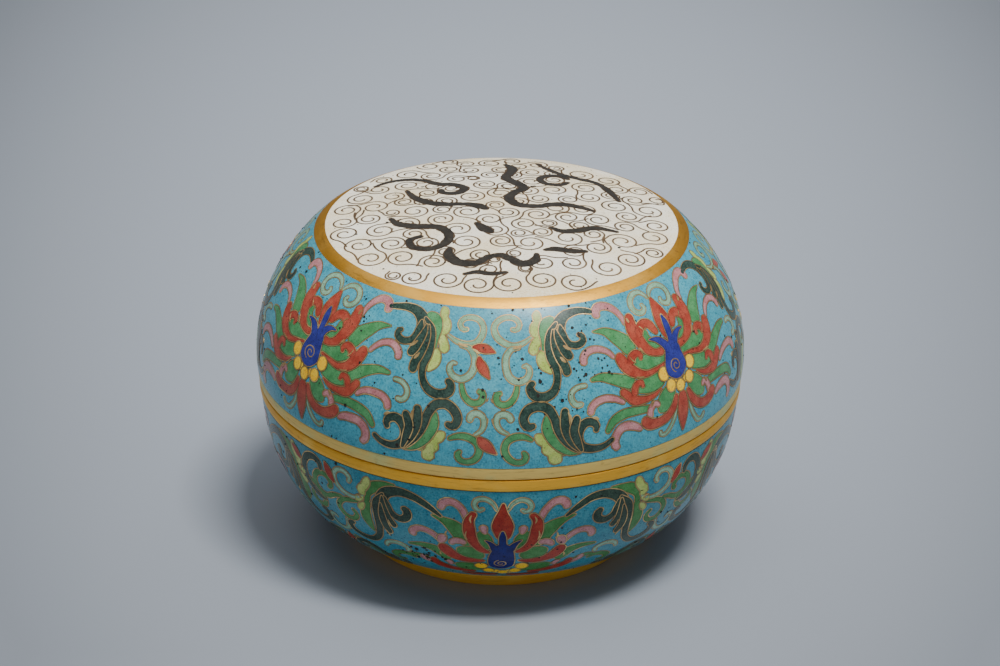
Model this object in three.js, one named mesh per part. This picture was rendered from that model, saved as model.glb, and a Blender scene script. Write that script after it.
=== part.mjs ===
// A round cloisonne enamel box with a lift-off lid, about 125 mm across and 87 mm tall.
// Both halves are hammered copper shells that carry the enamel. Cast gilt collars are soldered
// to their mouths, a gilt hoop frames the white roundel on the lid, and a gilt ring is the foot.
// Units are millimetres, +Z is up, and the origin is on the table at the middle of the foot.
import * as THREE from 'three';

// Driving dimensions of the outside
const lidRadius = 62.5;        // the widest circle of the lid
const bowlSetback = 0.9;       // the bowl's mouth is this much narrower than the lid, on the radius
const footHeight = 5.2;        // table to the underside of the bowl
const jointHeight = 43.7;      // the shoulder that the lid's collar sits on
const lidHeight = 43.4;        // shoulder to the crown of the lid
const roundelRise = 3.2;       // the crown stands this much above the roundel's edge

// Walls and metal thicknesses
const lidWall = 3.0;           // copper and enamel together
const bowlWall = 3.0;
const floorThickness = 3.2;
const collarThickness = 3.9;   // radial depth of the lid's collar
const lipThickness = 1.5;      // the upright lip that holds the lid in place
const footThickness = 2.7;
const hoopDepth = 1.1;         // how far the hoop is let into the lid

// Gilt bands as they show from outside
const lidBand = 3.3;
const bowlBand = 3.3;
const hoopWidth = 2.8;
const hoopCrown = 0.16;        // the hoop is slightly rounded across
const lipHeight = 4.0;
const edgeRound = 0.45;        // softened edges of the gilt metal
const bandSwell = 0.35;        // the bowl's collar stands proud of the enamel by this

// Outlines
const lidBulgeHeight = 6.3;    // shoulder to the lid's widest circle
const roundelRadius = 44.5;
const hoopFall = 1.6;          // the hoop's outer edge is this much lower than its inner edge
const bowlCurveDrop = 4.0;     // the bowl's curve would close this far under its flat base
const footRadius = 36.6;       // outer radius on the table
const footFlare = 3.6;         // the foot widens by this up to the bowl

// Fits
const seatGap = 0.2;           // lid's collar over the shoulder
const lipClearance = 0.4;      // lid's collar round the lip, on the radius
const solderGap = 0.05;        // between pieces that are soldered together

// Fineness of the faceted surface
const turns = 64;
const wallSteps = 8;
const domeSteps = 4;

const lidCentre = jointHeight + lidBulgeHeight;
const roundelEdge = jointHeight + lidHeight - roundelRise;
const lidBandTop = jointHeight + seatGap + lidBand;
const bowlRadius = lidRadius - bowlSetback;
const bowlBandBottom = jointHeight - bowlBand;
const bowlCurveHeight = jointHeight - footHeight + bowlCurveDrop;
const hoopOuterRadius = roundelRadius + hoopWidth;
const hoopOuterEdge = roundelEdge - hoopFall;
// Half height of the ellipse that takes the lid's wall from its widest circle to the hoop
const lidCurveHeight = (hoopOuterEdge - lidCentre) / Math.sqrt(1 - (hoopOuterRadius / lidRadius) ** 2);
const lipInnerRadius = bowlRadius - collarThickness - lipClearance - lipThickness;
const lipOuterRadius = lipInnerRadius + lipThickness;
const lidCollarInnerRadius = lipOuterRadius + lipClearance;

// Evenly spaced values from one end to the other, both ends included.
function spread(from, to, steps) {
  return Array.from({ length: steps + 1 }, (_, i) => from + ((to - from) * i) / steps);
}

// Radius of the lid's wall at a height, set inwards by inset: an ellipse about the widest circle.
function lidRadiusAt(height, inset = 0) {
  const t = (height - lidCentre) / (lidCurveHeight - inset);
  return (lidRadius - inset) * Math.sqrt(1 - t * t);
}

// Points of the lid's wall, set inwards by inset, from one height angle of the ellipse to the next.
function lidCurve(fromHeight, toHeight, inset, steps) {
  const tall = lidCurveHeight - inset;
  const angle = (height) => Math.asin((height - lidCentre) / tall);
  return spread(angle(fromHeight), angle(toHeight), steps).map(
    (a) => [(lidRadius - inset) * Math.cos(a), lidCentre + tall * Math.sin(a)]);
}

// Points of the bowl's wall, set inwards by inset, from the mouth down. The radius is the
// fourth root of one less the square of the drop, so the wall is upright and the turn is tight.
function bowlCurve(fromHeight, toHeight, inset, steps) {
  const deep = bowlCurveHeight - inset;
  const angle = (height) => Math.asin((jointHeight - height) / deep);
  return spread(angle(fromHeight), angle(toHeight), steps).map(
    (a) => [(bowlRadius - inset) * Math.sqrt(Math.cos(a)), jointHeight - deep * Math.sin(a)]);
}

// Points of a shallow dome from its edge to the axis, or back from the axis to its edge.
function dome(edgeRadius, edgeHeight, rise, outwards = false) {
  const points = spread(edgeRadius, 0, domeSteps).map((r) => {
    const t = r / edgeRadius;
    return [r, edgeHeight + rise * (1 - t * t)];
  });
  return outwards ? points.reverse() : points;
}

// A solid of revolution. The outline closes on itself, or starts and ends on the axis.
function turned(name, outline, material) {
  const points = outline.map(([r, z]) => new THREE.Vector2(Math.max(r, 0), z));
  const onAxis = points[0].x === 0 && points[points.length - 1].x === 0;
  if (!onAxis) points.push(points[0].clone());
  const area = points.reduce((sum, p, i) => {
    const q = points[(i + 1) % points.length];
    return sum + p.x * q.y - q.x * p.y;
  }, 0);
  if (area < 0) points.reverse();
  const geometry = new THREE.LatheGeometry(points, turns);
  geometry.rotateX(Math.PI / 2);
  const mesh = new THREE.Mesh(geometry, material);
  mesh.name = name;
  return mesh;
}

// Lid
// The copper shell: upright wall, rounded shoulder, a groove for the hoop and a low domed roundel.
function lidShell(material) {
  const grooveFloor = hoopDepth + solderGap;
  const ceiling = roundelEdge - lidWall;
  return turned('lid_shell', [
    ...lidCurve(lidBandTop + solderGap, hoopOuterEdge - solderGap, 0, wallSteps),
    [hoopOuterRadius + solderGap, hoopOuterEdge - grooveFloor],
    [roundelRadius - solderGap, roundelEdge - grooveFloor],
    ...dome(roundelRadius - solderGap, roundelEdge, roundelRise),
    ...dome(lidRadiusAt(ceiling, lidWall), ceiling, roundelRise, true),
    ...lidCurve(ceiling, lidBandTop + solderGap, lidWall, wallSteps).slice(1),
  ], material);
}

// The gilt hoop round the roundel, let into the shell.
function roundelHoop(material) {
  const middle = roundelRadius + hoopWidth / 2;
  return turned('roundel_hoop', [
    [hoopOuterRadius, hoopOuterEdge],
    [middle, (hoopOuterEdge + roundelEdge) / 2 + hoopCrown],
    [roundelRadius, roundelEdge],
    [roundelRadius, roundelEdge - hoopDepth],
    [hoopOuterRadius, hoopOuterEdge - hoopDepth],
  ], material);
}

// The gilt collar on the lid's mouth. It drops round the bowl's lip and sits on the shoulder.
function lidCollar(material) {
  const bottom = jointHeight + seatGap;
  const face = lidRadiusAt(bottom);
  return turned('lid_collar', [
    [lidCollarInnerRadius + edgeRound, bottom],
    [face - edgeRound, bottom],
    [face, bottom + edgeRound],
    [lidRadiusAt(lidBandTop), lidBandTop],
    [lidCollarInnerRadius, lidBandTop],
    [lidCollarInnerRadius, bottom + edgeRound],
  ], material);
}

// Bowl
// The copper shell: nearly upright at the mouth, turning in tightly to a flat floor.
function bowlShell(material) {
  const mouth = bowlBandBottom - solderGap;
  const underside = footHeight + solderGap;
  const floor = footHeight + floorThickness;
  return turned('bowl_shell', [
    [0, underside],
    ...bowlCurve(underside, mouth, 0, wallSteps),
    ...bowlCurve(mouth, floor, bowlWall, wallSteps),
    [0, floor],
  ], material);
}

// The gilt collar on the bowl's mouth, with the shoulder for the lid and the upright lip inside it.
function bowlCollar(material) {
  const swollen = bowlRadius + bandSwell;
  const lipTop = jointHeight + lipHeight;
  const [[outer, bottom]] = bowlCurve(bowlBandBottom, jointHeight, 0, 1);
  const [[inner]] = bowlCurve(bowlBandBottom, jointHeight, bowlWall, 1);
  return turned('bowl_collar', [
    [outer, bottom],
    [swollen, bottom + bowlBand / 3],
    [swollen, jointHeight - edgeRound],
    [swollen - edgeRound, jointHeight],
    [lipOuterRadius, jointHeight],
    [lipOuterRadius, lipTop - edgeRound],
    [lipOuterRadius - edgeRound, lipTop],
    [lipInnerRadius + edgeRound, lipTop],
    [lipInnerRadius, lipTop - edgeRound],
    [lipInnerRadius, jointHeight - bowlBand / 2],
    [inner, bottom],
  ], material);
}

// The gilt foot: a low ring that narrows towards the table.
function footRing(material) {
  return turned('foot_ring', [
    [footRadius - footThickness, 0],
    [footRadius - edgeRound, 0],
    [footRadius, edgeRound],
    [footRadius + footFlare / 2, footHeight * 0.45],
    [footRadius + footFlare, footHeight],
    [footRadius - footThickness, footHeight],
  ], material);
}

const enamel = new THREE.MeshStandardMaterial({ color: 0x3f9fb4, roughness: 0.35, metalness: 0.0 });
const gilt = new THREE.MeshStandardMaterial({ color: 0xc8963c, roughness: 0.32, metalness: 1.0 });

const box = new THREE.Group();
box.add(
  lidShell(enamel),
  roundelHoop(gilt),
  lidCollar(gilt),
  bowlShell(enamel),
  bowlCollar(gilt),
  footRing(gilt),
);

export default box;
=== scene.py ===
import bpy
import numpy as np
from mathutils import Matrix


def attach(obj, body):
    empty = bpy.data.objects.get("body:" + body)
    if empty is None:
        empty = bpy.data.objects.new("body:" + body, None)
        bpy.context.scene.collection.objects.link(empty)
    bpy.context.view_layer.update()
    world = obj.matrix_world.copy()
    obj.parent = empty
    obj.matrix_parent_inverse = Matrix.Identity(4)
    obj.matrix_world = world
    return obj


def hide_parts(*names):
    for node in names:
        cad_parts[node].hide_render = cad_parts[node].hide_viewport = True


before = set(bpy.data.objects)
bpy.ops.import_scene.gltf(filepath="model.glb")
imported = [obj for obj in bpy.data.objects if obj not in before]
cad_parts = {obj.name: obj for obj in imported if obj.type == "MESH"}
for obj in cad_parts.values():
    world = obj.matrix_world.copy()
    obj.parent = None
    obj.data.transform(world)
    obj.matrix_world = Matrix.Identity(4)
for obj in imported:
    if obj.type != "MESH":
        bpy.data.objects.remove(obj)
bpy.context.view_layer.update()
MM = 0.001

# Camera
# The photograph looks down on the box by about 25 degrees, from three quarters of a metre away.
camera_fall = np.radians(25.44)
camera_distance = 751.1
camera_roll = np.radians(0.64)
aim_right = -0.102
aim_up = 48.20
focal_pixels = 2835.6
photo_pixels = 1000.0
film_width = 36.0

away = np.array([0.0, -np.cos(camera_fall), np.sin(camera_fall)])
level = np.array([1.0, 0.0, 0.0])
upward = np.array([0.0, np.sin(camera_fall), np.cos(camera_fall)])
across = np.cos(camera_roll) * level + np.sin(camera_roll) * upward
tall = np.cos(camera_roll) * upward - np.sin(camera_roll) * level
stand = (away * camera_distance + level * aim_right + upward * aim_up) * MM
placing = np.eye(4)
placing[:3, 0] = across
placing[:3, 1] = tall
placing[:3, 2] = away
placing[:3, 3] = stand

lens = bpy.data.cameras.new("camera")
lens.sensor_width = film_width
lens.lens = focal_pixels * film_width / photo_pixels
lens.clip_start = 0.05
lens.clip_end = 40.0
camera = bpy.data.objects.new("camera", lens)
bpy.context.scene.collection.objects.link(camera)
camera.matrix_world = Matrix(placing.tolist())
bpy.context.scene.camera = camera


# Soft lamps
# A strip of soft light hangs over the table, in front and to the right of the box. A wide lit cloth
# over the whole table softens the shadows, and a weak lamp and dim grey air fill in what is left.
def soft_lamp(name, place, aim, size, watts, tint):
    """A square area lamp at place in metres, turned so that it shines at aim."""
    light = bpy.data.lights.new(name, "AREA")
    light.shape = "RECTANGLE"
    light.size = size[0]
    light.size_y = size[1]
    light.energy = watts
    light.color = tint
    lamp = bpy.data.objects.new(name, light)
    bpy.context.scene.collection.objects.link(lamp)
    back = np.array(place, float) - np.array(aim, float)
    back /= np.linalg.norm(back)
    side = np.cross([0.0, 1.0, 0.0], back)
    side /= np.linalg.norm(side)
    top = np.cross(back, side)
    turn = np.eye(4)
    turn[:3, 0] = side
    turn[:3, 1] = top
    turn[:3, 2] = back
    turn[:3, 3] = place
    lamp.matrix_world = Matrix(turn.tolist())


soft_lamp("overhead_strip", (0.30, -0.38, 1.50), (0.0, 0.0, 0.05), (0.48, 0.24), 28.5, (1.0, 0.985, 0.955))
soft_lamp("ceiling_cloth", (0.0, 0.1, 1.35), (0.0, 0.1, 0.0), (1.6, 1.6), 9.5, (0.97, 0.985, 1.0))
soft_lamp("front_fill", (-0.30, -1.30, 0.30), (0.0, 0.0, 0.02), (1.4, 0.5), 1.7, (1.0, 0.96, 0.88))

world = bpy.data.worlds.new("studio_air")
world.use_nodes = True
world.node_tree.nodes["Background"].inputs["Color"].default_value = (0.66, 0.69, 0.74, 1.0)
world.node_tree.nodes["Background"].inputs["Strength"].default_value = 0.25
bpy.context.scene.world = world


# Table
# A sheet of pale grey paper, matt and seamless, that fills the view. Light and shade are painted into
# its colour: it is painted palest behind the box and darker towards its near edge and its sides.
paper_colour = (0.306, 0.342, 0.398)
deep_nearest = -0.07
deep_furthest = 0.42
deep_gain = 1.62
deep_bend = -3.06
side_fall_here = -19.8
side_fall_gain = 14.0
shade_least = 0.6
shade_most = 1.25
table_reach = 6000.0


def add_mesh(name, points, faces, smooth_below=None):
    """Makes an object at the origin from points in millimetres and faces as lists of numbers."""
    mesh = bpy.data.meshes.new(name)
    mesh.from_pydata((np.asarray(points) * MM).tolist(), [], [list(face) for face in faces])
    if smooth_below is not None:
        mesh.polygons.foreach_set("use_smooth", [True] * len(mesh.polygons))
        mesh.set_sharp_from_angle(angle=np.radians(smooth_below))
    mesh.update()
    made = bpy.data.objects.new(name, mesh)
    bpy.context.scene.collection.objects.link(made)
    return made


def new_material(name):
    """A material with its shader, its node tree and its Object coordinates at hand."""
    made = bpy.data.materials.new(name)
    made.use_nodes = True
    tree = made.node_tree
    shader = tree.nodes["Principled BSDF"]
    place = tree.nodes.new("ShaderNodeTexCoord").outputs["Object"]
    return made, tree, shader, place


def feed(tree, socket, given):
    """Puts a number into a socket, or links another socket to it."""
    if isinstance(given, (int, float)):
        socket.default_value = given
    else:
        tree.links.new(given, socket)


def noise_in(tree, place, scale, detail=3.0, roughness=0.5):
    """A noise texture at place, with scale as a number or as a socket. Returns its Fac."""
    texture = tree.nodes.new("ShaderNodeTexNoise")
    texture.inputs["Detail"].default_value = detail
    texture.inputs["Roughness"].default_value = roughness
    tree.links.new(place, texture.inputs["Vector"])
    feed(tree, texture.inputs["Scale"], scale)
    return texture.outputs["Fac"]


def math_in(tree, operation, first, second):
    """One step of arithmetic on two sockets or numbers. Returns its Value."""
    made = tree.nodes.new("ShaderNodeMath")
    made.operation = operation
    feed(tree, made.inputs[0], first)
    feed(tree, made.inputs[1], second)
    return made.outputs["Value"]


def bump_in(tree, shader, height, strength, distance):
    """Gives the shader's surface a fine relief from a height that changes over it."""
    bump = tree.nodes.new("ShaderNodeBump")
    bump.inputs["Strength"].default_value = strength
    bump.inputs["Distance"].default_value = distance
    tree.links.new(height, bump.inputs["Height"])
    tree.links.new(bump.outputs["Normal"], shader.inputs["Normal"])


def painted_paper_shade(tree, place):
    """The paper's painted shade: how much lighter or darker its colour is painted. Down the middle it is
    one plus a parabola in the depth, which is held between its limits, and to the sides it falls with
    the square of the way aside, less so further back. The depth and the way aside are in metres."""
    split = tree.nodes.new("ShaderNodeSeparateXYZ")
    tree.links.new(place, split.inputs[0])
    deep = math_in(tree, "MINIMUM", split.outputs["Y"], deep_furthest)
    deep = math_in(tree, "MAXIMUM", deep, deep_nearest)
    bend = math_in(tree, "MULTIPLY", math_in(tree, "MULTIPLY", deep, deep), deep_bend)
    middle = math_in(tree, "ADD", math_in(tree, "MULTIPLY", deep, deep_gain), 1.0)
    middle = math_in(tree, "ADD", middle, bend)
    aside_squared = math_in(tree, "MULTIPLY", split.outputs["X"], split.outputs["X"])
    side_fall = math_in(tree, "ADD", math_in(tree, "MULTIPLY", deep, side_fall_gain), side_fall_here)
    shade = math_in(tree, "ADD", middle, math_in(tree, "MULTIPLY", aside_squared, side_fall))
    return math_in(tree, "MINIMUM", math_in(tree, "MAXIMUM", shade, shade_least), shade_most)


paper, tree, shader, place = new_material("pale_paper")
shader.inputs["Roughness"].default_value = 0.7
bump_in(tree, shader, noise_in(tree, place, 900.0, 6.0), 0.04, 0.0002)
# The paper's colour, scaled by its painted shade.
painted_paper_tone = tree.nodes.new("ShaderNodeVectorMath")
painted_paper_tone.operation = "SCALE"
painted_paper_tone.inputs[0].default_value = paper_colour
tree.links.new(painted_paper_shade(tree, place), painted_paper_tone.inputs["Scale"])
tree.links.new(painted_paper_tone.outputs[0], shader.inputs["Base Color"])

table = add_mesh("table", [
    (-table_reach, -table_reach, 0),
    (table_reach, -table_reach, 0),
    (table_reach, table_reach, 0),
    (-table_reach, table_reach, 0),
], [(0, 1, 2, 3)])
table.data.materials.append(paper)


# Copper shell of the lid
# The lid is a hammered copper dome, open below. Its inside is gilt, and the enamel is fused on
# its outside. Here it is the metal under the enamel, 3 mm with it.
lid_radius = 62.5
lid_centre = 50.0
lid_curve_height = 49.41
lid_wall = 3.0
lid_band_top = 47.2
hoop_outer_radius = 47.3
hoop_outer_edge = 82.3
roundel_radius = 44.5
roundel_edge = 83.9
roundel_rise = 3.2
enamel_depth = 0.9
under_collar = 0.05
under_hoop = 1.6
roundel_seat = roundel_radius - 1.0
turn_steps = 288
lining_steps = 160


def turned(name, outline, steps=turn_steps, smooth_below=35.0):
    """A solid of revolution about the vertical axis: each outline point (radius, height) is carried
    round in equal steps. The outline closes on itself, or starts and ends on the axis."""
    outline = np.asarray(outline, float)
    radius, height = outline[:, 0], outline[:, 1]
    following = np.roll(outline, -1, axis=0)
    area = np.sum(radius * following[:, 1] - following[:, 0] * height)
    if area < 0:
        outline = outline[::-1]
        radius, height = outline[:, 0], outline[:, 1]
    on_axis = radius[0] < 1e-6 and radius[-1] < 1e-6
    rim = outline[1:-1] if on_axis else outline
    angle = np.arange(steps) * 2 * np.pi / steps
    count = len(rim)
    points = np.stack([
        np.outer(rim[:, 0], np.sin(angle)),
        -np.outer(rim[:, 0], np.cos(angle)),
        np.outer(rim[:, 1], np.ones(steps)),
    ], -1).reshape(-1, 3)
    rows = np.arange(count - 1 if on_axis else count)
    row, column = np.meshgrid(rows, np.arange(steps), indexing="ij")
    below = row * steps
    above = (row + 1) % count * steps
    later = (column + 1) % steps
    faces = np.stack([below + column, below + later, above + later, above + column], -1)
    faces = faces.reshape(-1, 4).tolist()
    if on_axis:
        points = np.vstack([points, [[0, 0, height[0]]], [[0, 0, height[-1]]]])
        first, last = count * steps, count * steps + 1
        start = np.arange(steps)
        after = (start + 1) % steps
        faces += np.stack([np.full(steps, first), after, start], -1).tolist()
        end = (count - 1) * steps
        faces += np.stack([np.full(steps, last), end + start, end + after], -1).tolist()
    return add_mesh(name, points, faces, smooth_below)


def lid_curve(low, high, inset, steps):
    """Radius and height of the lid's wall between two heights: an ellipse in equal angles."""
    tall_half = lid_curve_height - inset
    ends = np.arcsin((np.array([low, high]) - lid_centre) / tall_half)
    angle = np.linspace(ends[0], ends[1], steps)
    return np.stack([(lid_radius - inset) * np.cos(angle), lid_centre + tall_half * np.sin(angle)], -1)


def dome_curve(edge_radius, edge_height, rise, steps):
    """Radius and height of a shallow dome from its edge to the axis: the height is a parabola."""
    radius = np.linspace(edge_radius, 0.0, steps)
    return np.stack([radius, edge_height + rise * (1 - (radius / edge_radius) ** 2)], -1)


ceiling = roundel_edge - lid_wall
ceiling_share = (ceiling - lid_centre) / (lid_curve_height - lid_wall)
inner_edge = np.sqrt(1 - ceiling_share ** 2) * (lid_radius - lid_wall)
lid_lining = turned("lid_lining", np.vstack([
    lid_curve(lid_band_top + under_collar, hoop_outer_edge - under_collar, enamel_depth, 28),
    [[hoop_outer_radius - 0.4, hoop_outer_edge - under_hoop], [roundel_seat, roundel_edge - under_hoop]],
    dome_curve(roundel_seat, roundel_edge - enamel_depth, roundel_rise, 30),
    dome_curve(inner_edge, ceiling, roundel_rise, 24)[::-1],
    lid_curve(lid_band_top + under_collar, ceiling, lid_wall, 28)[::-1][1:],
]), lining_steps)


def start_group(name, colours, numbers):
    """An empty shader group with a Place vector, colour inputs and number inputs. It puts out a
    colour, a roughness and a height."""
    group = bpy.data.node_groups.new(name, "ShaderNodeTree")
    group.interface.new_socket(name="Place", in_out="INPUT", socket_type="NodeSocketVector")
    for label in colours:
        group.interface.new_socket(name=label, in_out="INPUT", socket_type="NodeSocketColor")
    for label in numbers:
        group.interface.new_socket(name=label, in_out="INPUT", socket_type="NodeSocketFloat")
    group.interface.new_socket(name="Colour", in_out="OUTPUT", socket_type="NodeSocketColor")
    group.interface.new_socket(name="Roughness", in_out="OUTPUT", socket_type="NodeSocketFloat")
    group.interface.new_socket(name="Height", in_out="OUTPUT", socket_type="NodeSocketFloat")
    entry = group.nodes.new("NodeGroupInput")
    leave = group.nodes.new("NodeGroupOutput")
    return group, entry, leave


def step_in(tree, value, low, high):
    """A smooth step of value, from 0 at low to 1 at high. Returns its Result."""
    ramp = tree.nodes.new("ShaderNodeMapRange")
    ramp.interpolation_type = "SMOOTHSTEP"
    tree.links.new(value, ramp.inputs["Value"])
    ramp.inputs["From Min"].default_value = low
    ramp.inputs["From Max"].default_value = high
    return ramp.outputs["Result"]


def mix_in(tree, share, first, second):
    """A mix of two colours by share. Returns its Result. The node has a socket of each name for
    every type of value, so the ones for colours are taken by their numbers."""
    made = tree.nodes.new("ShaderNodeMix")
    made.data_type = "RGBA"
    tree.links.new(share, made.inputs[0])
    tree.links.new(first, made.inputs[6])
    tree.links.new(second, made.inputs[7])
    return made.outputs[2]


def colour_in(tree, colour):
    """A fixed colour inside a group. Returns its socket."""
    made = tree.nodes.new("ShaderNodeRGB")
    made.outputs[0].default_value = (*colour, 1.0)
    return made.outputs[0]


def surfaced(name, group, values, strength, distance):
    """A material whose colour, roughness and relief come from a group with its own values, and
    from the mesh's attribute rim. Returns it with its shader."""
    made, tree, shader, place = new_material(name)
    effect = tree.nodes.new("ShaderNodeGroup")
    effect.node_tree = group
    for label, value in values.items():
        effect.inputs[label].default_value = (*value, 1.0) if isinstance(value, tuple) else value
    tree.links.new(place, effect.inputs["Place"])
    rim = tree.nodes.new("ShaderNodeAttribute")
    rim.attribute_name = "rim"
    tree.links.new(rim.outputs["Fac"], effect.inputs["Rim"])
    tree.links.new(effect.outputs["Colour"], shader.inputs["Base Color"])
    tree.links.new(effect.outputs["Roughness"], shader.inputs["Roughness"])
    bump_in(tree, shader, effect.outputs["Height"], strength, distance)
    return made, shader


worn_gilt, entry, leave = start_group(
    "worn_gilt", ("Gold", "Rubbed", "Dull"), ("Roughness", "Grain Scale", "Rim"))
spot = entry.outputs["Place"]
patches = step_in(worn_gilt, noise_in(worn_gilt, spot, 90.0, 5.0, 0.6), 0.45, 0.70)
stains = step_in(worn_gilt, noise_in(worn_gilt, spot, 260.0, 6.0, 0.7), 0.60, 0.78)
grain = noise_in(worn_gilt, spot, entry.outputs["Grain Scale"], 4.0, 0.6)
drawn_out = worn_gilt.nodes.new("ShaderNodeVectorMath")
drawn_out.operation = "MULTIPLY"
drawn_out.inputs[1].default_value = (1.0, 1.0, 12.0)
worn_gilt.links.new(spot, drawn_out.inputs[0])
streaks = step_in(worn_gilt, noise_in(worn_gilt, drawn_out.outputs[0], 170.0, 6.0, 0.65), 0.50, 0.72)
streaks = math_in(worn_gilt, "MULTIPLY", streaks, 0.6)
soot = colour_in(worn_gilt, (0.030, 0.020, 0.014))
sooty = math_in(worn_gilt, "MULTIPLY", entry.outputs["Rim"], 0.95)
tone = mix_in(worn_gilt, patches, entry.outputs["Gold"], entry.outputs["Rubbed"])
tone = mix_in(worn_gilt, stains, tone, entry.outputs["Dull"])
tone = mix_in(worn_gilt, streaks, tone, entry.outputs["Dull"])
tone = mix_in(worn_gilt, sooty, tone, soot)
satin = math_in(worn_gilt, "ADD", entry.outputs["Roughness"], math_in(worn_gilt, "MULTIPLY", grain, 0.16))
satin = math_in(worn_gilt, "ADD", satin, math_in(worn_gilt, "MULTIPLY", stains, 0.12))
worn_gilt.links.new(tone, leave.inputs["Colour"])
worn_gilt.links.new(satin, leave.inputs["Roughness"])
worn_gilt.links.new(grain, leave.inputs["Height"])


def gilding(name, gold, rubbed, dull, roughness, grain_scale, metallic):
    """Gilt copper: gold with rubbed paler places and brown dull ones, streaks and a soft sheen."""
    made, shader = surfaced(name, worn_gilt, {
        "Gold": gold,
        "Rubbed": rubbed,
        "Dull": dull,
        "Roughness": roughness,
        "Grain Scale": grain_scale,
    }, 0.25, 0.00012)
    shader.inputs["Metallic"].default_value = metallic
    return made


lining_gilt = gilding("lining_gilt", (0.62, 0.37, 0.12), (0.70, 0.45, 0.17), (0.30, 0.17, 0.06),
                      0.34, 700.0, 0.9)
lid_lining.data.materials.append(lining_gilt)
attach(lid_lining, "root")
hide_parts("lid_shell")

# Turquoise enamel of the lid
# Opaque glass fused over the copper and ground smooth: a mottled sky blue with fine black pits.
enamel_gap = 0.03
lid_turquoise = turned("lid_turquoise", np.vstack([
    lid_curve(lid_band_top + enamel_gap, hoop_outer_edge - enamel_gap, 0.0, 40),
    [[hoop_outer_radius - 0.3, hoop_outer_edge - 1.5]],
    lid_curve(lid_band_top + enamel_gap, hoop_outer_edge - enamel_depth, enamel_depth, 34)[::-1],
]))

fused_enamel, entry, leave = start_group(
    "fused_enamel",
    ("Glass", "Cloud", "Speck"),
    ("Cloud Scale", "Pit Scale", "Pit Size", "Speck Share", "Dirt Share", "Roughness", "Rim"),
)
spot = entry.outputs["Place"]
clouds = noise_in(fused_enamel, spot, entry.outputs["Cloud Scale"], 5.0, 0.6)
clouds = step_in(fused_enamel, clouds, 0.32, 0.68)
crumbs = noise_in(fused_enamel, spot, 2100.0, 3.0, 0.65)
specks = step_in(fused_enamel, crumbs, 0.52, 0.66)
specks = math_in(fused_enamel, "MULTIPLY", specks, entry.outputs["Speck Share"])
dirt = step_in(fused_enamel, crumbs, 0.46, 0.34)
dirt = math_in(fused_enamel, "MULTIPLY", dirt, entry.outputs["Dirt Share"])
cells = fused_enamel.nodes.new("ShaderNodeTexVoronoi")
cells.feature = "F1"
fused_enamel.links.new(spot, cells.inputs["Vector"])
fused_enamel.links.new(entry.outputs["Pit Scale"], cells.inputs["Scale"])
crowd = step_in(fused_enamel, noise_in(fused_enamel, spot, 45.0, 2.0), 0.50, 0.66)
hole_edge = math_in(fused_enamel, "MULTIPLY", entry.outputs["Pit Size"], crowd)
hole = math_in(fused_enamel, "LESS_THAN", cells.outputs["Distance"], hole_edge)
burnt = colour_in(fused_enamel, (0.012, 0.010, 0.010))
rim_dirt = math_in(fused_enamel, "MULTIPLY", entry.outputs["Rim"], 0.68)
tone = mix_in(fused_enamel, clouds, entry.outputs["Glass"], entry.outputs["Cloud"])
tone = mix_in(fused_enamel, specks, tone, entry.outputs["Speck"])
tone = mix_in(fused_enamel, dirt, tone, burnt)
tone = mix_in(fused_enamel, hole, tone, burnt)
tone = mix_in(fused_enamel, rim_dirt, tone, burnt)
matt_crumbs = math_in(fused_enamel, "MULTIPLY", crumbs, 0.12)
gloss = math_in(fused_enamel, "ADD", entry.outputs["Roughness"], matt_crumbs)
gloss = math_in(fused_enamel, "ADD", gloss, math_in(fused_enamel, "MULTIPLY", hole, 0.4))
dent = math_in(fused_enamel, "SUBTRACT", math_in(fused_enamel, "MULTIPLY", crumbs, 0.25), hole)
fused_enamel.links.new(tone, leave.inputs["Colour"])
fused_enamel.links.new(gloss, leave.inputs["Roughness"])
fused_enamel.links.new(dent, leave.inputs["Height"])


def enamel(name, glass, cloud, speck, cloud_scale=420.0, pit_size=0.16, dirt_share=0.45, roughness=0.23,
           sheen=0.36, coat=0.4):
    """Fused and polished glass: three near colours in clouds and crumbs, burnt pits, a soft gloss.
    Its sheen is what it reflects, and coat is the share of the sheen that it has as a clear coat."""
    made, shader = surfaced(name, fused_enamel, {
        "Glass": glass,
        "Cloud": cloud,
        "Speck": speck,
        "Cloud Scale": cloud_scale,
        "Pit Scale": 420.0,
        "Pit Size": pit_size,
        "Speck Share": 0.6,
        "Dirt Share": dirt_share,
        "Roughness": roughness,
    }, 0.3, 0.0001)
    shader.inputs["Specular IOR Level"].default_value = sheen
    shader.inputs["Coat Weight"].default_value = sheen * coat
    shader.inputs["Coat Roughness"].default_value = 0.15
    return made


turquoise = enamel("turquoise_enamel", (0.040, 0.29, 0.405), (0.072, 0.385, 0.50), (0.135, 0.48, 0.55))
lid_turquoise.data.materials.append(turquoise)
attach(lid_turquoise, "root")
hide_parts("lid_shell")

# White roundel
# The top of the lid is a shallow dome of white enamel inside the hoop, with ivory clouds.
white_radius = roundel_radius - 0.05
roundel_white = turned("roundel_white", np.vstack([
    dome_curve(white_radius, roundel_edge, roundel_rise, 36),
    dome_curve(white_radius, roundel_edge - enamel_depth, roundel_rise, 20)[::-1],
]))
white = enamel("white_enamel", (0.90, 0.76, 0.50), (1.0, 0.96, 0.82), (1.0, 0.99, 0.91), cloud_scale=60.0,
               pit_size=0.12, dirt_share=0.22, sheen=0.16)
roundel_white.data.materials.append(white)
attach(roundel_white, "root")
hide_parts("lid_shell")

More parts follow.
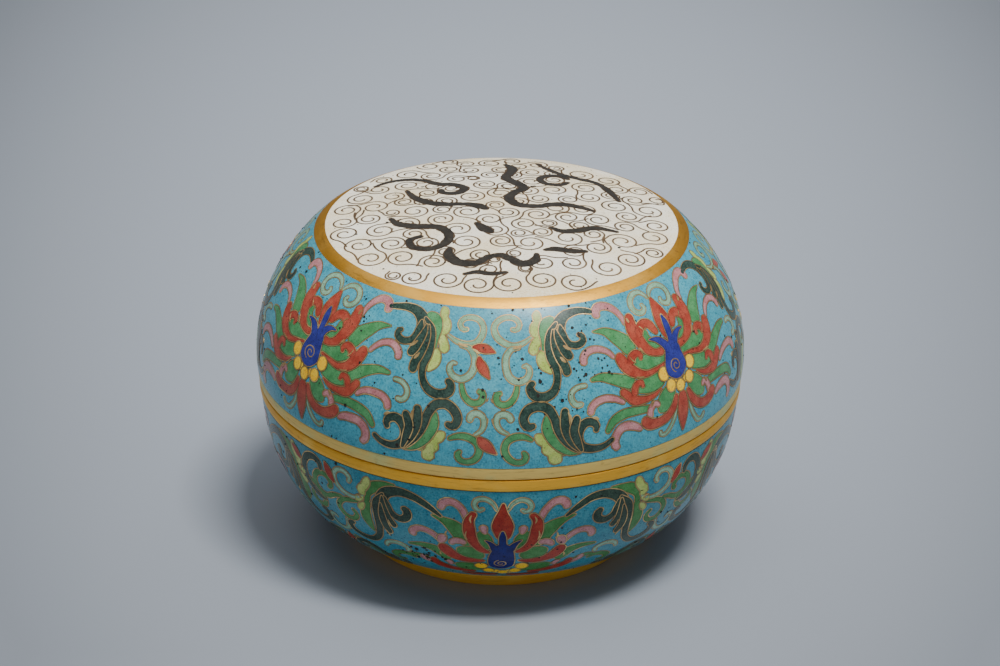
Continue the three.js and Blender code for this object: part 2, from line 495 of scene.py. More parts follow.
# Hoop of the roundel
# A cast and gilt hoop let into the lid, slightly rounded across, its edges ground flush.
hoop_depth = 1.1
hoop_crown = 0.16
hoop_share = np.linspace(0.0, 1.0, 9)
hoop_radius = roundel_radius + (hoop_outer_radius - roundel_radius) * hoop_share
hoop_height = roundel_edge + (hoop_outer_edge - roundel_edge) * hoop_share
hoop_height = hoop_height + hoop_crown * 4 * hoop_share * (1 - hoop_share)
hoop = turned("gilt_hoop", np.vstack([
    np.stack([hoop_radius, hoop_height], -1)[::-1],
    [[roundel_radius, roundel_edge - hoop_depth], [hoop_outer_radius, hoop_outer_edge - hoop_depth]],
]))
hoop_gilt = gilding("hoop_gilt", (0.70, 0.36, 0.042), (0.80, 0.45, 0.08), (0.33, 0.165, 0.035),
                    0.44, 1500.0, 1.0)
hoop.data.materials.append(hoop_gilt)
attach(hoop, "root")
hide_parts("roundel_hoop")

# Collar of the lid
# A gilt collar soldered to the lid's mouth, a little greened by age and painted greener in patches as
# a painted reflection of the turquoise enamel above it. It drops round the bowl's lip and sits on its
# shoulder.
seat_height = 43.9
collar_inner = 57.7
edge_round = 0.45


def rounded(corners, radius, steps=5):
    """An outline with each corner cut back by radius and turned in a parabola through the cuts."""
    corners = np.asarray(corners, float)
    before = np.roll(corners, 1, axis=0) - corners
    after = np.roll(corners, -1, axis=0) - corners
    room_before = np.linalg.norm(before, axis=1)[:, None]
    room_after = np.linalg.norm(after, axis=1)[:, None]
    start = corners + before / room_before * np.minimum(radius, room_before * 0.45)
    end = corners + after / room_after * np.minimum(radius, room_after * 0.45)
    start, middle, end = start[:, None], corners[:, None], end[:, None]
    share = np.linspace(0.0, 1.0, steps)[None, :, None]
    curve = (1 - share) ** 2 * start + 2 * share * (1 - share) * middle + share ** 2 * end
    return curve.reshape(-1, 2)


lid_face = lid_curve(seat_height, lid_band_top, 0.0, 6)
lid_collar = turned("gilt_lid_collar", rounded(np.vstack([
    lid_face[[0]], lid_face[[-1]], [[collar_inner, lid_band_top]], [[collar_inner, seat_height]],
]), edge_round))
# Gilt with green patches: partly age, partly a painted reflection of the turquoise.
greened_painted_reflection_gilt = gilding("greened_painted_reflection_gilt", (0.86, 0.60, 0.16), (0.64, 0.64, 0.26), (0.40, 0.25, 0.07),
                       0.40, 1500.0, 0.55)
lid_collar.data.materials.append(greened_painted_reflection_gilt)
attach(lid_collar, "root")
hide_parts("lid_collar")

# Copper shell of the bowl
# The bowl is a second hammered shell, gilt inside, nearly upright at the mouth and flat below.
joint_height = 43.7
bowl_radius = 61.6
bowl_curve_height = 42.5
bowl_wall = 3.0
bowl_band_bottom = 40.4
bowl_underside = 5.25
bowl_floor = 8.4


def bowl_curve(low, high, inset, steps):
    """Radius and height of the bowl's wall: the radius is the root of the cosine of the height
    angle, so that the wall is upright above and turns in tightly below."""
    deep = bowl_curve_height - inset
    ends = np.arcsin((joint_height - np.array([low, high])) / deep)
    angle = np.linspace(ends[0], ends[1], steps)
    radius = (bowl_radius - inset) * np.sqrt(np.cos(angle))
    return np.stack([radius, joint_height - deep * np.sin(angle)], -1)


bowl_lining = turned("bowl_lining", np.vstack([
    [[0.0, bowl_underside]],
    bowl_curve(bowl_underside + under_collar, bowl_band_bottom - under_collar, enamel_depth, 40),
    bowl_curve(bowl_floor, bowl_band_bottom - under_collar, bowl_wall, 40)[::-1],
    [[0.0, bowl_floor]],
]), lining_steps)
bowl_lining.data.materials.append(lining_gilt)
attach(bowl_lining, "root")
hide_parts("bowl_shell")

# Turquoise enamel of the bowl
# The same mottled glass as the lid's, from the gilt band to the foot, its colour painted deeper and
# duller than the lid's: painted shade, for the bowl lies lower and in shade.
bowl_turquoise = turned("bowl_turquoise", np.vstack([
    bowl_curve(bowl_underside, bowl_band_bottom - enamel_gap, 0.0, 56),
    bowl_curve(bowl_underside, bowl_band_bottom - enamel_gap, enamel_depth, 40)[::-1],
]))
# The lid's turquoise painted darker: painted shade on the bowl.
painted_shade_turquoise = enamel("painted_shade_turquoise_enamel", (0.030, 0.21, 0.30), (0.054, 0.285, 0.365),
                        (0.105, 0.36, 0.41), sheen=0.22)
bowl_turquoise.data.materials.append(painted_shade_turquoise)
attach(bowl_turquoise, "root")
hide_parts("bowl_shell")

# Green leaves on the walls
# Leaves of green glass between the petals and on the scrolls. As with every colour here, each one
# is a cell of bent copper strip soldered on edge to the shell, filled with glass and ground flush.
wire_width = 0.25
lowest_rise = 0.02
level_rise = 0.025
fill_rise = 0.013
strip_depth = 0.25
narrowest_half = 0.02
thinnest_end = 0.015
fine_spacing = 0.12
table_steps = 1500


def wall_table(curve):
    """Up the wall: the pattern's rise, radius, height and the outward direction. The rise adds up
    each step over the radius there, so a pattern keeps its shape where the wall narrows."""
    step = np.hypot(np.diff(curve[:, 0]), np.diff(curve[:, 1]))
    middle = (curve[1:, 0] + curve[:-1, 0]) / 2
    rise = lid_radius * np.concatenate([[0.0], np.cumsum(step / middle)])
    slope = np.gradient(curve, axis=0)
    slope /= np.linalg.norm(slope, axis=1)[:, None]
    return np.column_stack([rise, curve, slope[:, 1], -slope[:, 0]])


walls = {
    "lid": wall_table(lid_curve(lid_band_top, hoop_outer_edge, 0.0, table_steps)),
    "bowl": wall_table(bowl_curve(bowl_underside, bowl_band_bottom, 0.0, table_steps)),
}
walls["bowl"][:, 0] -= walls["bowl"][-1, 0]


def on_wall(part, along, rise, lift):
    """Points on a wall: along it as at the widest circle, up it by rise, and out of it by lift."""
    table = walls[part]
    radius, height, out, up = (np.interp(rise, table[:, 0], table[:, i]) for i in (1, 2, 3, 4))
    radius = radius + lift * out
    angle = along / lid_radius
    return np.stack([radius * np.sin(angle), -radius * np.cos(angle), height + lift * up], -1)


def run_along(path):
    """How far along a flat path each of its points lies: the sum of the steps before it."""
    return np.concatenate([[0.0], np.cumsum(np.hypot(*np.diff(path[:, :2], axis=0).T))])


def smooth_path(rows, spacing):
    """A smooth curve through rows of (along, up, half width): a cubic between each two rows, whose
    slope at a row is that of the parabola through it and its neighbours."""
    rows = np.asarray(rows, float)
    chord = run_along(rows)
    slope = np.gradient(rows, chord, axis=0)
    place = np.linspace(0.0, chord[-1], max(8, int(chord[-1] / spacing)))
    cell = np.clip(np.searchsorted(chord, place, side="right") - 1, 0, len(rows) - 2)
    span = (chord[cell + 1] - chord[cell])[:, None]
    share = (place[:, None] - chord[cell][:, None]) / span
    left = 1 - share
    by_place = rows[cell] * (1 + 2 * share) * left ** 2 + rows[cell + 1] * (3 - 2 * share) * share ** 2
    return by_place + slope[cell] * span * share * left ** 2 - slope[cell + 1] * span * share ** 2 * left


def strip(surface, part, rows, wider, lift, spacing=0.6, rim=0.3, across=1.15):
    """A flat strip laid on a surface along a smooth curve, with its width from the rows and wider
    on each side, its ends round: there the half width is that of a circle. Its top follows the
    surface and its sides go down into it. Its last value is 1 on its edges and falls to 0 over the
    width rim. A strip with no rim is 0 all over."""
    fine = smooth_path(rows, fine_spacing)
    fine[:, 2] = np.maximum(fine[:, 2], narrowest_half)
    run = run_along(fine)
    caps = fine[[0, -1], 2] + wider
    share = 1 - np.cos(np.linspace(0.06, 0.5, 6) * np.pi)
    low, high = -wider, run[-1] + wider
    straight = high - low - caps.sum()
    inner = np.arange(1, max(2, int(straight / spacing)))
    inner = low + caps[0] + inner / (inner[-1] + 1) * max(straight, 0.0)
    place = np.concatenate([low + caps[0] * share, inner, high - (caps[1] * share)[::-1]])
    place = np.unique(np.clip(place, low, high))
    heading = np.gradient(fine[:, :2], run, axis=0)
    heading /= np.linalg.norm(heading, axis=1)[:, None]
    inside = np.clip(place, 0.0, run[-1])
    turn = np.stack([np.interp(inside, run, heading[:, i]) for i in (0, 1)], -1)
    turn /= np.linalg.norm(turn, axis=1)[:, None]
    spine = np.stack([np.interp(inside, run, fine[:, i]) for i in (0, 1)], -1)
    spine = spine + turn * (place - inside)[:, None]
    half = np.interp(inside, run, fine[:, 2]) + wider
    for from_end in (np.minimum((place - low) / caps[0], 1.0), np.minimum((high - place) / caps[1], 1.0)):
        half = half * np.sqrt(1 - (1 - from_end) ** 2)
    half = np.maximum(half, thinnest_end)
    count = max(1, int(np.ceil(2 * (half.max() - rim) / across)))
    core = np.maximum(half - rim, half * 0.3)[:, None] * np.linspace(1, -1, count + 1)[None, :]
    top = np.column_stack([half, core, -half]) if rim else core
    edge = np.concatenate([[1.0], np.zeros(count + 1), [1.0, 1.0, 1.0]]) if rim else np.zeros(count + 3)
    reach = np.column_stack([top, -half, half])
    rise = np.concatenate([np.full(top.shape[1], lift), [-strip_depth, -strip_depth]])
    sideways = np.stack([-turn[:, 1], turn[:, 0]], -1)
    grid = spine[:, None, :] + sideways[:, None, :] * reach[:, :, None]
    points = surface(part, grid[..., 0], grid[..., 1], np.broadcast_to(rise, grid.shape[:2]))
    rings, around = grid.shape[:2]
    row, column = np.meshgrid(np.arange(rings - 1) * around, np.arange(around), indexing="ij")
    after = (column + 1) % around
    faces = np.stack([row + column, row + after, row + around + after, row + around + column], -1)
    start = np.arange(around)[::-1]
    end = np.arange(around) + (rings - 1) * around
    return points.reshape(-1, 3), faces.reshape(-1, 4), (start, end), np.tile(edge, rings)


def gathered_mesh(name, strips):
    """One object from many strips, their points numbered on from strip to strip. Its attribute
    rim holds where the edges of the strips are."""
    points, sides, ends, edges = zip(*strips)
    counts = np.cumsum([0] + [len(some) for some in points])
    faces = []
    for before, side, end in zip(counts, sides, ends):
        faces += (side + before).tolist()
        faces += [(cap + before).tolist() for cap in end]
    made = add_mesh(name, np.vstack(points), faces, 35.0)
    rim = made.data.attributes.new("rim", "FLOAT", "POINT")
    rim.data.foreach_set("value", np.concatenate(edges).astype(np.float32))
    return made


# Where the motifs stand round each wall, in degrees from the front, with how wide each is drawn and
# the side on which it has the cells that come once. A bloom is a blossom of the bowl.
stands = {
    ("lid", "blossom"): ((-50.9, 1.0, 1), (45.8, 1.0, 1), (133.6, 1.0, 1), (-138.7, 1.0, 1)),
    ("lid", "scroll"): ((-2.1, 1.0, 1), (89.7, 0.85, 1), (177.5, 0.85, 1), (-94.8, 0.85, 1)),
    ("bowl", "bloom"): ((1.1, 1.0, 1), (91.1, 1.0, 1), (-178.9, 1.0, 1), (-88.9, 1.0, 1)),
    ("bowl", "scroll"): ((-43.9, 1.0, 1), (46.1, 1.0, -1), (136.1, 1.0, 1), (-133.9, 1.0, -1)),
}

# The line of symmetry that each motif's rows are drawn about.
motif_line = {
    ("lid", "blossom"): 50.4,
    ("lid", "scroll"): -2.3,
    ("bowl", "bloom"): 0.0,
    ("bowl", "scroll"): -47.9,
}
scroll_lean = -0.04
scroll_middle_rise = 15

# The bends of the hand, along the wall and up it: how far, how often round, how fast up, and where
# each wave starts.
bends_along = ((0.22, 13, 0.31, 0.0), (0.14, 31, -0.23, 1.0))
bends_up = ((0.20, 17, -0.19, 2.0), (0.12, 37, 0.27, 0.0))


def bent(waves, angle, rise):
    """A slow uneven bend: the sum of sine waves that run round the wall and lean up it."""
    return sum(far * np.sin(often * angle + slope * rise + start) for far, often, slope, start in waves)


def set_out(part, kind, rows, mirrored):
    """The copies of one cell round a wall, each with its mirror image where mirrored is true. Rows
    of the bowl count down from its band. Every copy is bent a little, as strips bent by hand are."""
    rows = np.asarray(rows, float)
    rise = rows[:, 1] if part == "lid" else -rows[:, 1]
    slant = scroll_lean * (rise - scroll_middle_rise) if (part, kind) == ("lid", "scroll") else 0.0
    aside = rows[:, 0] - slant - motif_line[part, kind]
    copies = []
    for degrees, width, near_side in stands[part, kind]:
        for side in (1, -1) if mirrored else (near_side,):
            along = lid_radius * np.radians(degrees) + slant + side * aside * width
            angle = along / lid_radius
            copies.append(np.column_stack([
                along + bent(bends_along, angle, rise),
                rise + bent(bends_up, angle, rise),
                rows[:, 2] * (0.4 + 0.6 * width),
            ]))
    return copies


def laid_out(part, motifs):
    """Every cell of the motifs round a wall, as its rows with how far its base stands out. A motif's
    cells each say whether they are mirrored, their level, of which 0 lies lowest, and their rows."""
    return [
        (copy, lowest_rise + level * level_rise)
        for kind, cells in motifs.items()
        for mirrored, level, rows in cells
        for copy in set_out(part, kind, rows, mirrored)
    ]


strip_outlines = {"lid": [], "bowl": []}


def lay_cells(name, material, slot, part, **motifs):
    """Fills the cells of one colour on one wall, and keeps their outlines for the copper strips."""
    laid = laid_out(part, motifs)
    strip_outlines[part] += laid
    fills = [strip(on_wall, part, rows, 0.0, base + fill_rise) for rows, base in laid]
    made = gathered_mesh(f"{part}_{name}", fills)
    made.data.materials.append(material)
    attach(made, "root")
    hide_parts(f"{part}_shell")


# A cell is drawn once and comes paired with its mirror image, or single.
paired = True
single = False
blossom_leaves = [
    (paired, 0, [(37.5, 25.2, 2), (36.4, 28.3, 2.3), (34, 31, 1.9), (31, 33, 1.1), (27.3, 33.6, 0.15)]),
    (paired, 0, [(36, 17.5, 1.6), (33, 18.9, 1.6), (30, 20.4, 1.3), (27, 21.3, 0.95), (24, 21, 0.4)]),
    (paired, 0, [(36.4, 23.4, 0.8), (38.6, 22.4, 1.5), (41, 22.1, 2), (44, 21.6, 1.3), (48, 21.6, 1)]),
    (paired, 0, [(36.4, 15.6, 0.7), (39, 16.2, 1.9), (42, 16.8, 2.1), (45.4, 17.4, 1.6)]),
    (paired, 0, [(43.6, 30.2, 0.8), (43.3, 28.2, 1.2), (44.4, 26.2, 1.4), (46.4, 25.2, 1.1),
        (48.6, 25, 0.6)]),
    (paired, 0, [(42.4, 8.8, 1), (44, 10.6, 2.3), (45.6, 12.6, 2.2), (47.4, 14.4, 1.3)]),
    (paired, 0, [(40, 10.6, 0.8), (36, 11, 1), (32, 10.7, 1.15), (29, 9.6, 1.1), (26.8, 7, 0.6)]),
]
bloom_leaves = [
    (paired, 0, [(-5.6, 12.2, 0.6), (-5.4, 14.6, 2.2), (-4.8, 17.2, 2.3), (-3.6, 19.2, 1.2)]),
    (paired, 0, [(-18.2, 8.2, 0.2), (-15.6, 9.5, 0.9), (-13, 11.2, 1.9), (-11, 13.6, 2.3),
        (-9.8, 16.2, 2.1), (-9, 18.4, 1)]),
    (paired, 0, [(-12, 20, 1.3), (-9.6, 21.2, 2.6), (-7.2, 22.2, 2.5), (-4.6, 22.8, 1.8)]),
    (paired, 0, [(-26, 20.6, 0.3), (-22, 20.6, 1), (-18.8, 21.5, 1.5), (-16.6, 23.5, 1.7),
        (-15, 25.8, 1.1)]),
    (paired, 0, [(-13.8, 28.4, 1.5), (-11, 29.4, 2.5), (-8, 30.2, 2.5), (-5.6, 32, 1.4)]),
    (paired, 0, [(-27.5, 27.2, 0.4), (-24.5, 26.4, 0.9), (-21.8, 27.4, 1), (-20.4, 29.4, 0.8)]),
]
lid_scroll_greens = [
    (paired, 1, [(16, 39.5, 0.8), (13.5, 38.3, 1.6), (12.5, 35.5, 1.5), (12.3, 33, 0.9), (11.9, 30, 0.4)]),
    (paired, 0, [(4.4, 22.2, 0.4), (4.2, 20, 0.6), (3.6, 18, 0.72), (1.8, 16.6, 0.78), (0, 17, 0.78),
        (-0.8, 18.5, 0.8), (-0.4, 19.6, 0.7), (0.5, 19.3, 0.5)]),
    (paired, 0, [(8.2, 7.3, 0.4), (6, 8.3, 0.7), (3.5, 8.3, 0.85), (1.6, 6.9, 0.8), (1, 4.8, 0.82),
        (2, 2.5, 0.8), (4, 1.6, 0.72), (5.8, 2.2, 0.75), (6.2, 3.7, 0.7), (5.4, 4.6, 0.4)]),
    (paired, 1, [(11.4, 13.3, 0.4), (11.8, 10.5, 1.3), (13, 7.8, 1.3), (15, 5.5, 1.2), (17.5, 3.8, 0.9),
        (20, 3, 0.2)]),
]
bowl_scroll_greens = [
    (paired, 0, [(-26.5, 1.7, 0.3), (-29.5, 2.4, 1.1), (-32.4, 3.6, 1.5), (-34.6, 6, 1.3), (-35, 9, 0.9)]),
    (paired, 0, [(-34.6, 8.5, 0.8), (-35.8, 11.5, 1.3), (-36.2, 14.5, 1.6), (-35.6, 17.4, 1.1),
        (-34.9, 19.6, 0.2)]),
    (paired, 0, [(-36.8, 9.4, 0.5), (-40.4, 9.9, 0.7), (-43.6, 11.2, 0.75), (-45.3, 14, 0.8),
        (-43.6, 17.2, 0.8), (-40.6, 17.2, 0.75), (-39.4, 14.9, 0.7), (-40.7, 13.2, 0.5)]),
    (single, 0, [(-43.4, 10, 0.4), (-46.4, 11, 0.7), (-49.2, 12.3, 0.8), (-52, 11.4, 0.85),
        (-53.2, 8.7, 0.85), (-52, 6.3, 0.85), (-49.5, 5.6, 0.8), (-47.3, 6.6, 0.75), (-46.8, 8.4, 0.7),
        (-48, 9.2, 0.55)]),
    (paired, 0, [(-24, 29, 0.5), (-26, 27.5, 0.9), (-29.5, 27.8, 1), (-31.5, 30, 1), (-30.5, 32.5, 0.8),
        (-28.6, 32, 0.5)]),
    (paired, 0, [(-37, 38, 0.4), (-38, 34, 1.4), (-39.5, 31, 1.5), (-42, 28.5, 1.2), (-45.5, 27.2, 0.4)]),
]
leaf_green = enamel("leaf_green_enamel", (0.050, 0.23, 0.075), (0.10, 0.34, 0.13), (0.03, 0.14, 0.06))
lay_cells("green_leaves", leaf_green, "green_enamel", "lid",
          blossom=blossom_leaves, scroll=lid_scroll_greens)
# The bowl's leaves: the lid's green painted darker, as painted shade.
painted_shade_leaf_green = enamel("painted_shade_leaf_green_enamel", (0.038, 0.19, 0.036), (0.08, 0.285, 0.08),
                         (0.02, 0.11, 0.03), sheen=0.2)
lay_cells("green_leaves", painted_shade_leaf_green, "green_enamel", "bowl",
          bloom=bloom_leaves, scroll=bowl_scroll_greens)

# Dark green acanthus
# Long curled fronds in glass so dark a green that it is nearly black, on the scrolls between the
# blossoms. Each frond is its own cell.
dark_green = enamel("dark_green_enamel", (0.012, 0.036, 0.028), (0.035, 0.075, 0.058), (0.075, 0.13, 0.10))
lid_acanthus = [
    (paired, 1, [(28.7, 39.3, 0.7), (26, 40.2, 0.9), (22.5, 40.6, 1.2), (19.2, 39.6, 1.5), (16.9, 37, 1.9),
        (16.2, 34, 2.4)]),
    (paired, 2, [(16.5, 38, 0.4), (14, 35, 0.9), (13.2, 31.5, 0.9), (13.6, 28, 1.1), (14.9, 24.5, 0.9),
        (14.8, 21.5, 0.8), (13.2, 18.8, 1), (10.3, 17.9, 1.1), (7.8, 19, 1.1), (7.4, 21, 0.9),
        (8.6, 22, 0.6)]),
    (paired, 3, [(15, 36, 0.2), (14.8, 33, 0.8), (15.1, 30.5, 1), (16.2, 27.5, 1.1), (17.6, 25, 1.1),
        (17.9, 22.9, 1)]),
    (paired, 4, [(15.6, 36, 0.2), (15.9, 33.5, 0.8), (16.8, 31, 1.1), (18, 28.8, 1.2), (19.4, 27, 1)]),
    (paired, 2, [(17.2, 37, 0.3), (17.3, 34.5, 1.1), (17.8, 32.3, 1.2), (19.3, 30.8, 0.9),
        (21.8, 30.4, 0.9), (23.4, 31.6, 0.85), (23.2, 33.2, 0.7), (22, 33.3, 0.5)]),
    (paired, 2, [(8.8, 10.9, 0.6), (7, 10.5, 0.9), (5.9, 12.3, 1), (6.7, 14.6, 1.1), (9, 15.7, 1.1),
        (11.5, 15.2, 1.1), (13.3, 13, 1), (14.3, 10, 1), (15.8, 7.2, 0.9), (18, 4.8, 0.7),
        (20.2, 3, 0.2)]),
    (paired, 3, [(20.2, 3.2, 0.3), (17.6, 6.5, 1), (16, 10, 1.1), (15.8, 13, 0.95), (16, 14.8, 0.8)]),
    (paired, 4, [(20.4, 3.3, 0.3), (18.8, 6.5, 0.9), (17.9, 9, 1), (18.4, 11.5, 0.9), (18.8, 12.7, 0.7)]),
    (paired, 2, [(28, 5.3, 0.5), (25.5, 3.7, 0.7), (22.5, 3.5, 0.9), (20, 4.8, 1.1), (18.9, 7.3, 1.2),
        (19.6, 9.6, 1.1), (21.3, 10.8, 1), (23.2, 10.3, 0.9), (23.9, 8.8, 0.7), (23.3, 8, 0.6)]),
]
bowl_acanthus = [
    (paired, 1, [(-14.6, 8.6, 0.3), (-17.6, 5.8, 0.8), (-21.5, 3.6, 1), (-25.6, 3.2, 1.2),
        (-28.8, 4.4, 1.5), (-31, 7.6, 1.8)]),
    (paired, 2, [(-29.6, 4.8, 0.3), (-31.8, 8, 1.2), (-32.6, 12.5, 1.2), (-32.9, 17, 1), (-34, 21.2, 0.9),
        (-37, 24, 0.9), (-40.6, 24.2, 0.9), (-43.2, 22.2, 0.9), (-42.9, 19.6, 0.85), (-41.2, 19, 0.65)]),
    (paired, 2, [(-29.4, 5.6, 0.3), (-29, 8.2, 1), (-27.8, 10.6, 0.9), (-25.4, 11.7, 1), (-23.3, 10.4, 1.1),
        (-23.4, 8.4, 1), (-24.6, 7.8, 0.7)]),
    (paired, 3, [(-30, 5.6, 0.2), (-30.2, 9, 0.9), (-29.4, 12.4, 1), (-27.7, 15, 0.9)]),
    (paired, 4, [(-30.8, 8, 0.2), (-31.2, 12, 0.9), (-30.8, 15.4, 1), (-29.6, 18.2, 0.9)]),
    (single, 1, [(-50.3, 5, 0.6), (-50.7, 3, 0.8), (-52.4, 1.9, 0.9), (-55, 2.4, 1), (-56.6, 5, 1),
        (-56.8, 8.6, 1), (-55.6, 12, 0.9), (-53, 14, 0.8), (-50.2, 14.6, 0.3)]),
    (paired, 1, [(-37.5, 40.5, 0.3), (-36.2, 37, 1), (-36.6, 33, 1.1), (-39, 29.6, 1.1), (-42.6, 28.3, 1.1),
        (-45, 30.4, 1), (-44, 32.8, 0.9), (-42.2, 32.3, 0.6)]),
    (paired, 2, [(-36.6, 41, 0.3), (-34.4, 38, 0.9), (-33.6, 35, 1), (-34.4, 32.3, 0.8)]),
    (paired, 2, [(-36.4, 42, 0.3), (-33, 41, 0.9), (-30.4, 38.6, 1), (-30.2, 35.8, 0.9),
        (-31.6, 35, 0.6)]),
]
lay_cells("dark_acanthus", dark_green, "dark_green_enamel", "lid", scroll=lid_acanthus)
# The bowl's fronds: the lid's dark green painted darker still, as painted shade.
painted_shade_dark_green = enamel("painted_shade_dark_green_enamel", (0.009, 0.031, 0.020), (0.032, 0.07, 0.046),
                         (0.065, 0.12, 0.08), sheen=0.22)
lay_cells("dark_acanthus", painted_shade_dark_green, "dark_green_enamel", "bowl", scroll=bowl_acanthus)

# Lime leaves
# Lobed leaves of yellow green glass that grow from the dark fronds.
lime = enamel("lime_enamel", (0.38, 0.50, 0.09), (0.55, 0.64, 0.19), (0.18, 0.36, 0.09))
lid_limes = [
    (paired, 0, [(11.2, 42.2, 0.7), (10.8, 40.6, 1.3), (10.9, 39.2, 1.1), (10.6, 37.4, 2),
        (10.6, 35.8, 2.1), (11.2, 34, 1.2)]),
    (paired, 0, [(12.2, 34.5, 0.6), (11, 33.2, 1.4), (9.8, 31.8, 1.2), (9.4, 30.2, 1.3), (9.3, 29.2, 1)]),
    (paired, 0, [(12.2, 30.4, 0.4), (11.4, 28.6, 1.3), (11.8, 26.2, 1.5), (13.4, 23.6, 0.3)]),
    (paired, 0, [(9, 8.6, 0.7), (10.4, 7.4, 1.3), (11.4, 6.4, 1), (12, 5, 1.6), (12.8, 3.8, 1.1),
        (13.4, 2.6, 1.7), (14.8, 1.4, 0.9)]),
    (paired, 0, [(14.6, 4.4, 0.9), (16.4, 3.6, 0.7)]),
]
bowl_limes = [
    (paired, 1, [(-33.8, 0.9, 0.7), (-34.3, 2.5, 1.15), (-35.2, 4.1, 1.1), (-36.4, 5.5, 1.3),
        (-35.6, 7, 0.8)]),
    (paired, 1, [(-36, 7.8, 0.5), (-37.6, 8.4, 1), (-38.6, 9.2, 0.8)]),
    (paired, 1, [(-36.2, 9.8, 0.4), (-37.3, 11, 0.9), (-38, 12.2, 0.7)]),
    (paired, 0, [(-40.5, 37.5, 0.8), (-39.5, 39.5, 1.5), (-38.5, 42, 1.3), (-37.2, 44, 0.5)]),
]
lay_cells("lime_leaves", lime, "lime_enamel", "lid", scroll=lid_limes)
lay_cells("lime_leaves", lime, "lime_enamel", "bowl", scroll=bowl_limes)

# Mint curls
# Thin curls and hooks of pale green glass at the tips of the blossoms and on the scrolls between
# them. The large curls high on the lid are of a greener sage.
mint = enamel("mint_enamel", (0.19, 0.38, 0.25), (0.30, 0.53, 0.37), (0.12, 0.29, 0.18))
blossom_curls = [
    (paired, 0, [(50, 38.3, 0.25), (49.3, 39.8, 0.5), (47.8, 41.2, 0.7), (45.8, 41.6, 0.8),
        (43.6, 40.8, 0.85), (42.3, 38.8, 0.85), (42.5, 36.8, 0.8), (44, 35.3, 0.75), (45.8, 35.5, 0.7),
        (46.6, 36.7, 0.65), (45.9, 37.6, 0.5)]),
    (paired, 1, [(22.8, 20, 0.5), (20.3, 19.8, 0.55), (18.6, 18.4, 0.6), (18.4, 16.6, 0.65),
        (19.4, 15.4, 0.65), (21, 15.6, 0.5)]),
    (paired, 0, [(48.2, 8.5, 0.3), (47.6, 6, 0.45), (46.3, 3.8, 0.5), (44.5, 2.2, 0.5), (43, 2.3, 0.45),
        (42.3, 3.6, 0.4)]),
]
lid_scroll_curls = [
    (paired, 1, [(5.5, 31.3, 0.3), (3, 30.8, 0.7), (1.5, 28.8, 0.78), (1.2, 26, 0.82), (2.3, 23.3, 0.85),
        (4.5, 22.2, 0.8), (6.8, 23.1, 0.72), (7.8, 25.3, 0.65), (7.1, 26.6, 0.5), (6, 26.3, 0.3)]),
    (paired, 0, [(3.2, 12.2, 0.7), (2.6, 13.7, 0.8), (1.2, 14.3, 0.75), (-0.2, 13.6, 0.7),
        (-0.5, 11.8, 0.65), (0.4, 10.1, 0.5), (2.2, 9, 0.3)]),
]
lid_high_curls = [
    (paired, 0, [(9, 34.2, 0.3), (6.6, 32.6, 0.6), (4, 31.9, 0.7), (1, 32.5, 0.8), (-1, 34.6, 0.85),
        (-1.5, 37, 0.78), (-0.4, 39.2, 0.78), (1.8, 40.2, 0.76), (4.2, 39.6, 0.72), (5.4, 37.8, 0.65),
        (4.6, 36.3, 0.6), (3.1, 36.5, 0.5)]),
]
bloom_curls = [
    (paired, 0, [(-1.4, 5.4, 0.25), (-2.5, 3.3, 0.45), (-4.5, 2.1, 0.55), (-6.4, 2.8, 0.6),
        (-6.9, 4.6, 0.55), (-5.8, 5.8, 0.5), (-4.7, 5.1, 0.4)]),
]
bowl_scroll_curls = [
    (single, 1, [(-35.8, 7.3, 0.3), (-39, 8.6, 0.5), (-42.8, 7.9, 0.6), (-45, 5.6, 0.65), (-45, 3.4, 0.65),
        (-43.4, 1.8, 0.6), (-41, 1.8, 0.6), (-39.8, 3.3, 0.6), (-40.6, 4.4, 0.5)]),
    (single, 1, [(-44.2, 18.4, 0.4), (-44.8, 21.4, 0.6), (-46.6, 23.8, 0.65), (-49, 24.4, 0.65),
        (-51, 22.8, 0.65), (-51.2, 20.4, 0.6), (-49.7, 19, 0.55), (-48.4, 19.8, 0.45)]),
    (paired, 1, [(-32.8, 25.4, 0.4), (-31.7, 23.3, 0.6), (-29.2, 22.1, 0.65), (-26.8, 22.4, 0.65),
        (-25.3, 24, 0.6), (-26, 25.4, 0.5)]),
    (paired, 0, [(-45.5, 36.5, 0.4), (-42.8, 35.6, 0.7), (-41.2, 37.4, 0.8), (-42, 39.8, 0.8),
        (-44.4, 40.2, 0.6), (-45.3, 38.8, 0.4)]),
]
lay_cells("mint_curls", mint, "mint_enamel", "lid", blossom=blossom_curls, scroll=lid_scroll_curls)
lay_cells("mint_curls", mint, "mint_enamel", "bowl", bloom=bloom_curls, scroll=bowl_scroll_curls)
sage = enamel("sage_enamel", (0.20, 0.40, 0.24), (0.28, 0.50, 0.32), (0.14, 0.30, 0.18))
lay_cells("sage_curls", sage, "green_enamel", "lid", scroll=lid_high_curls)

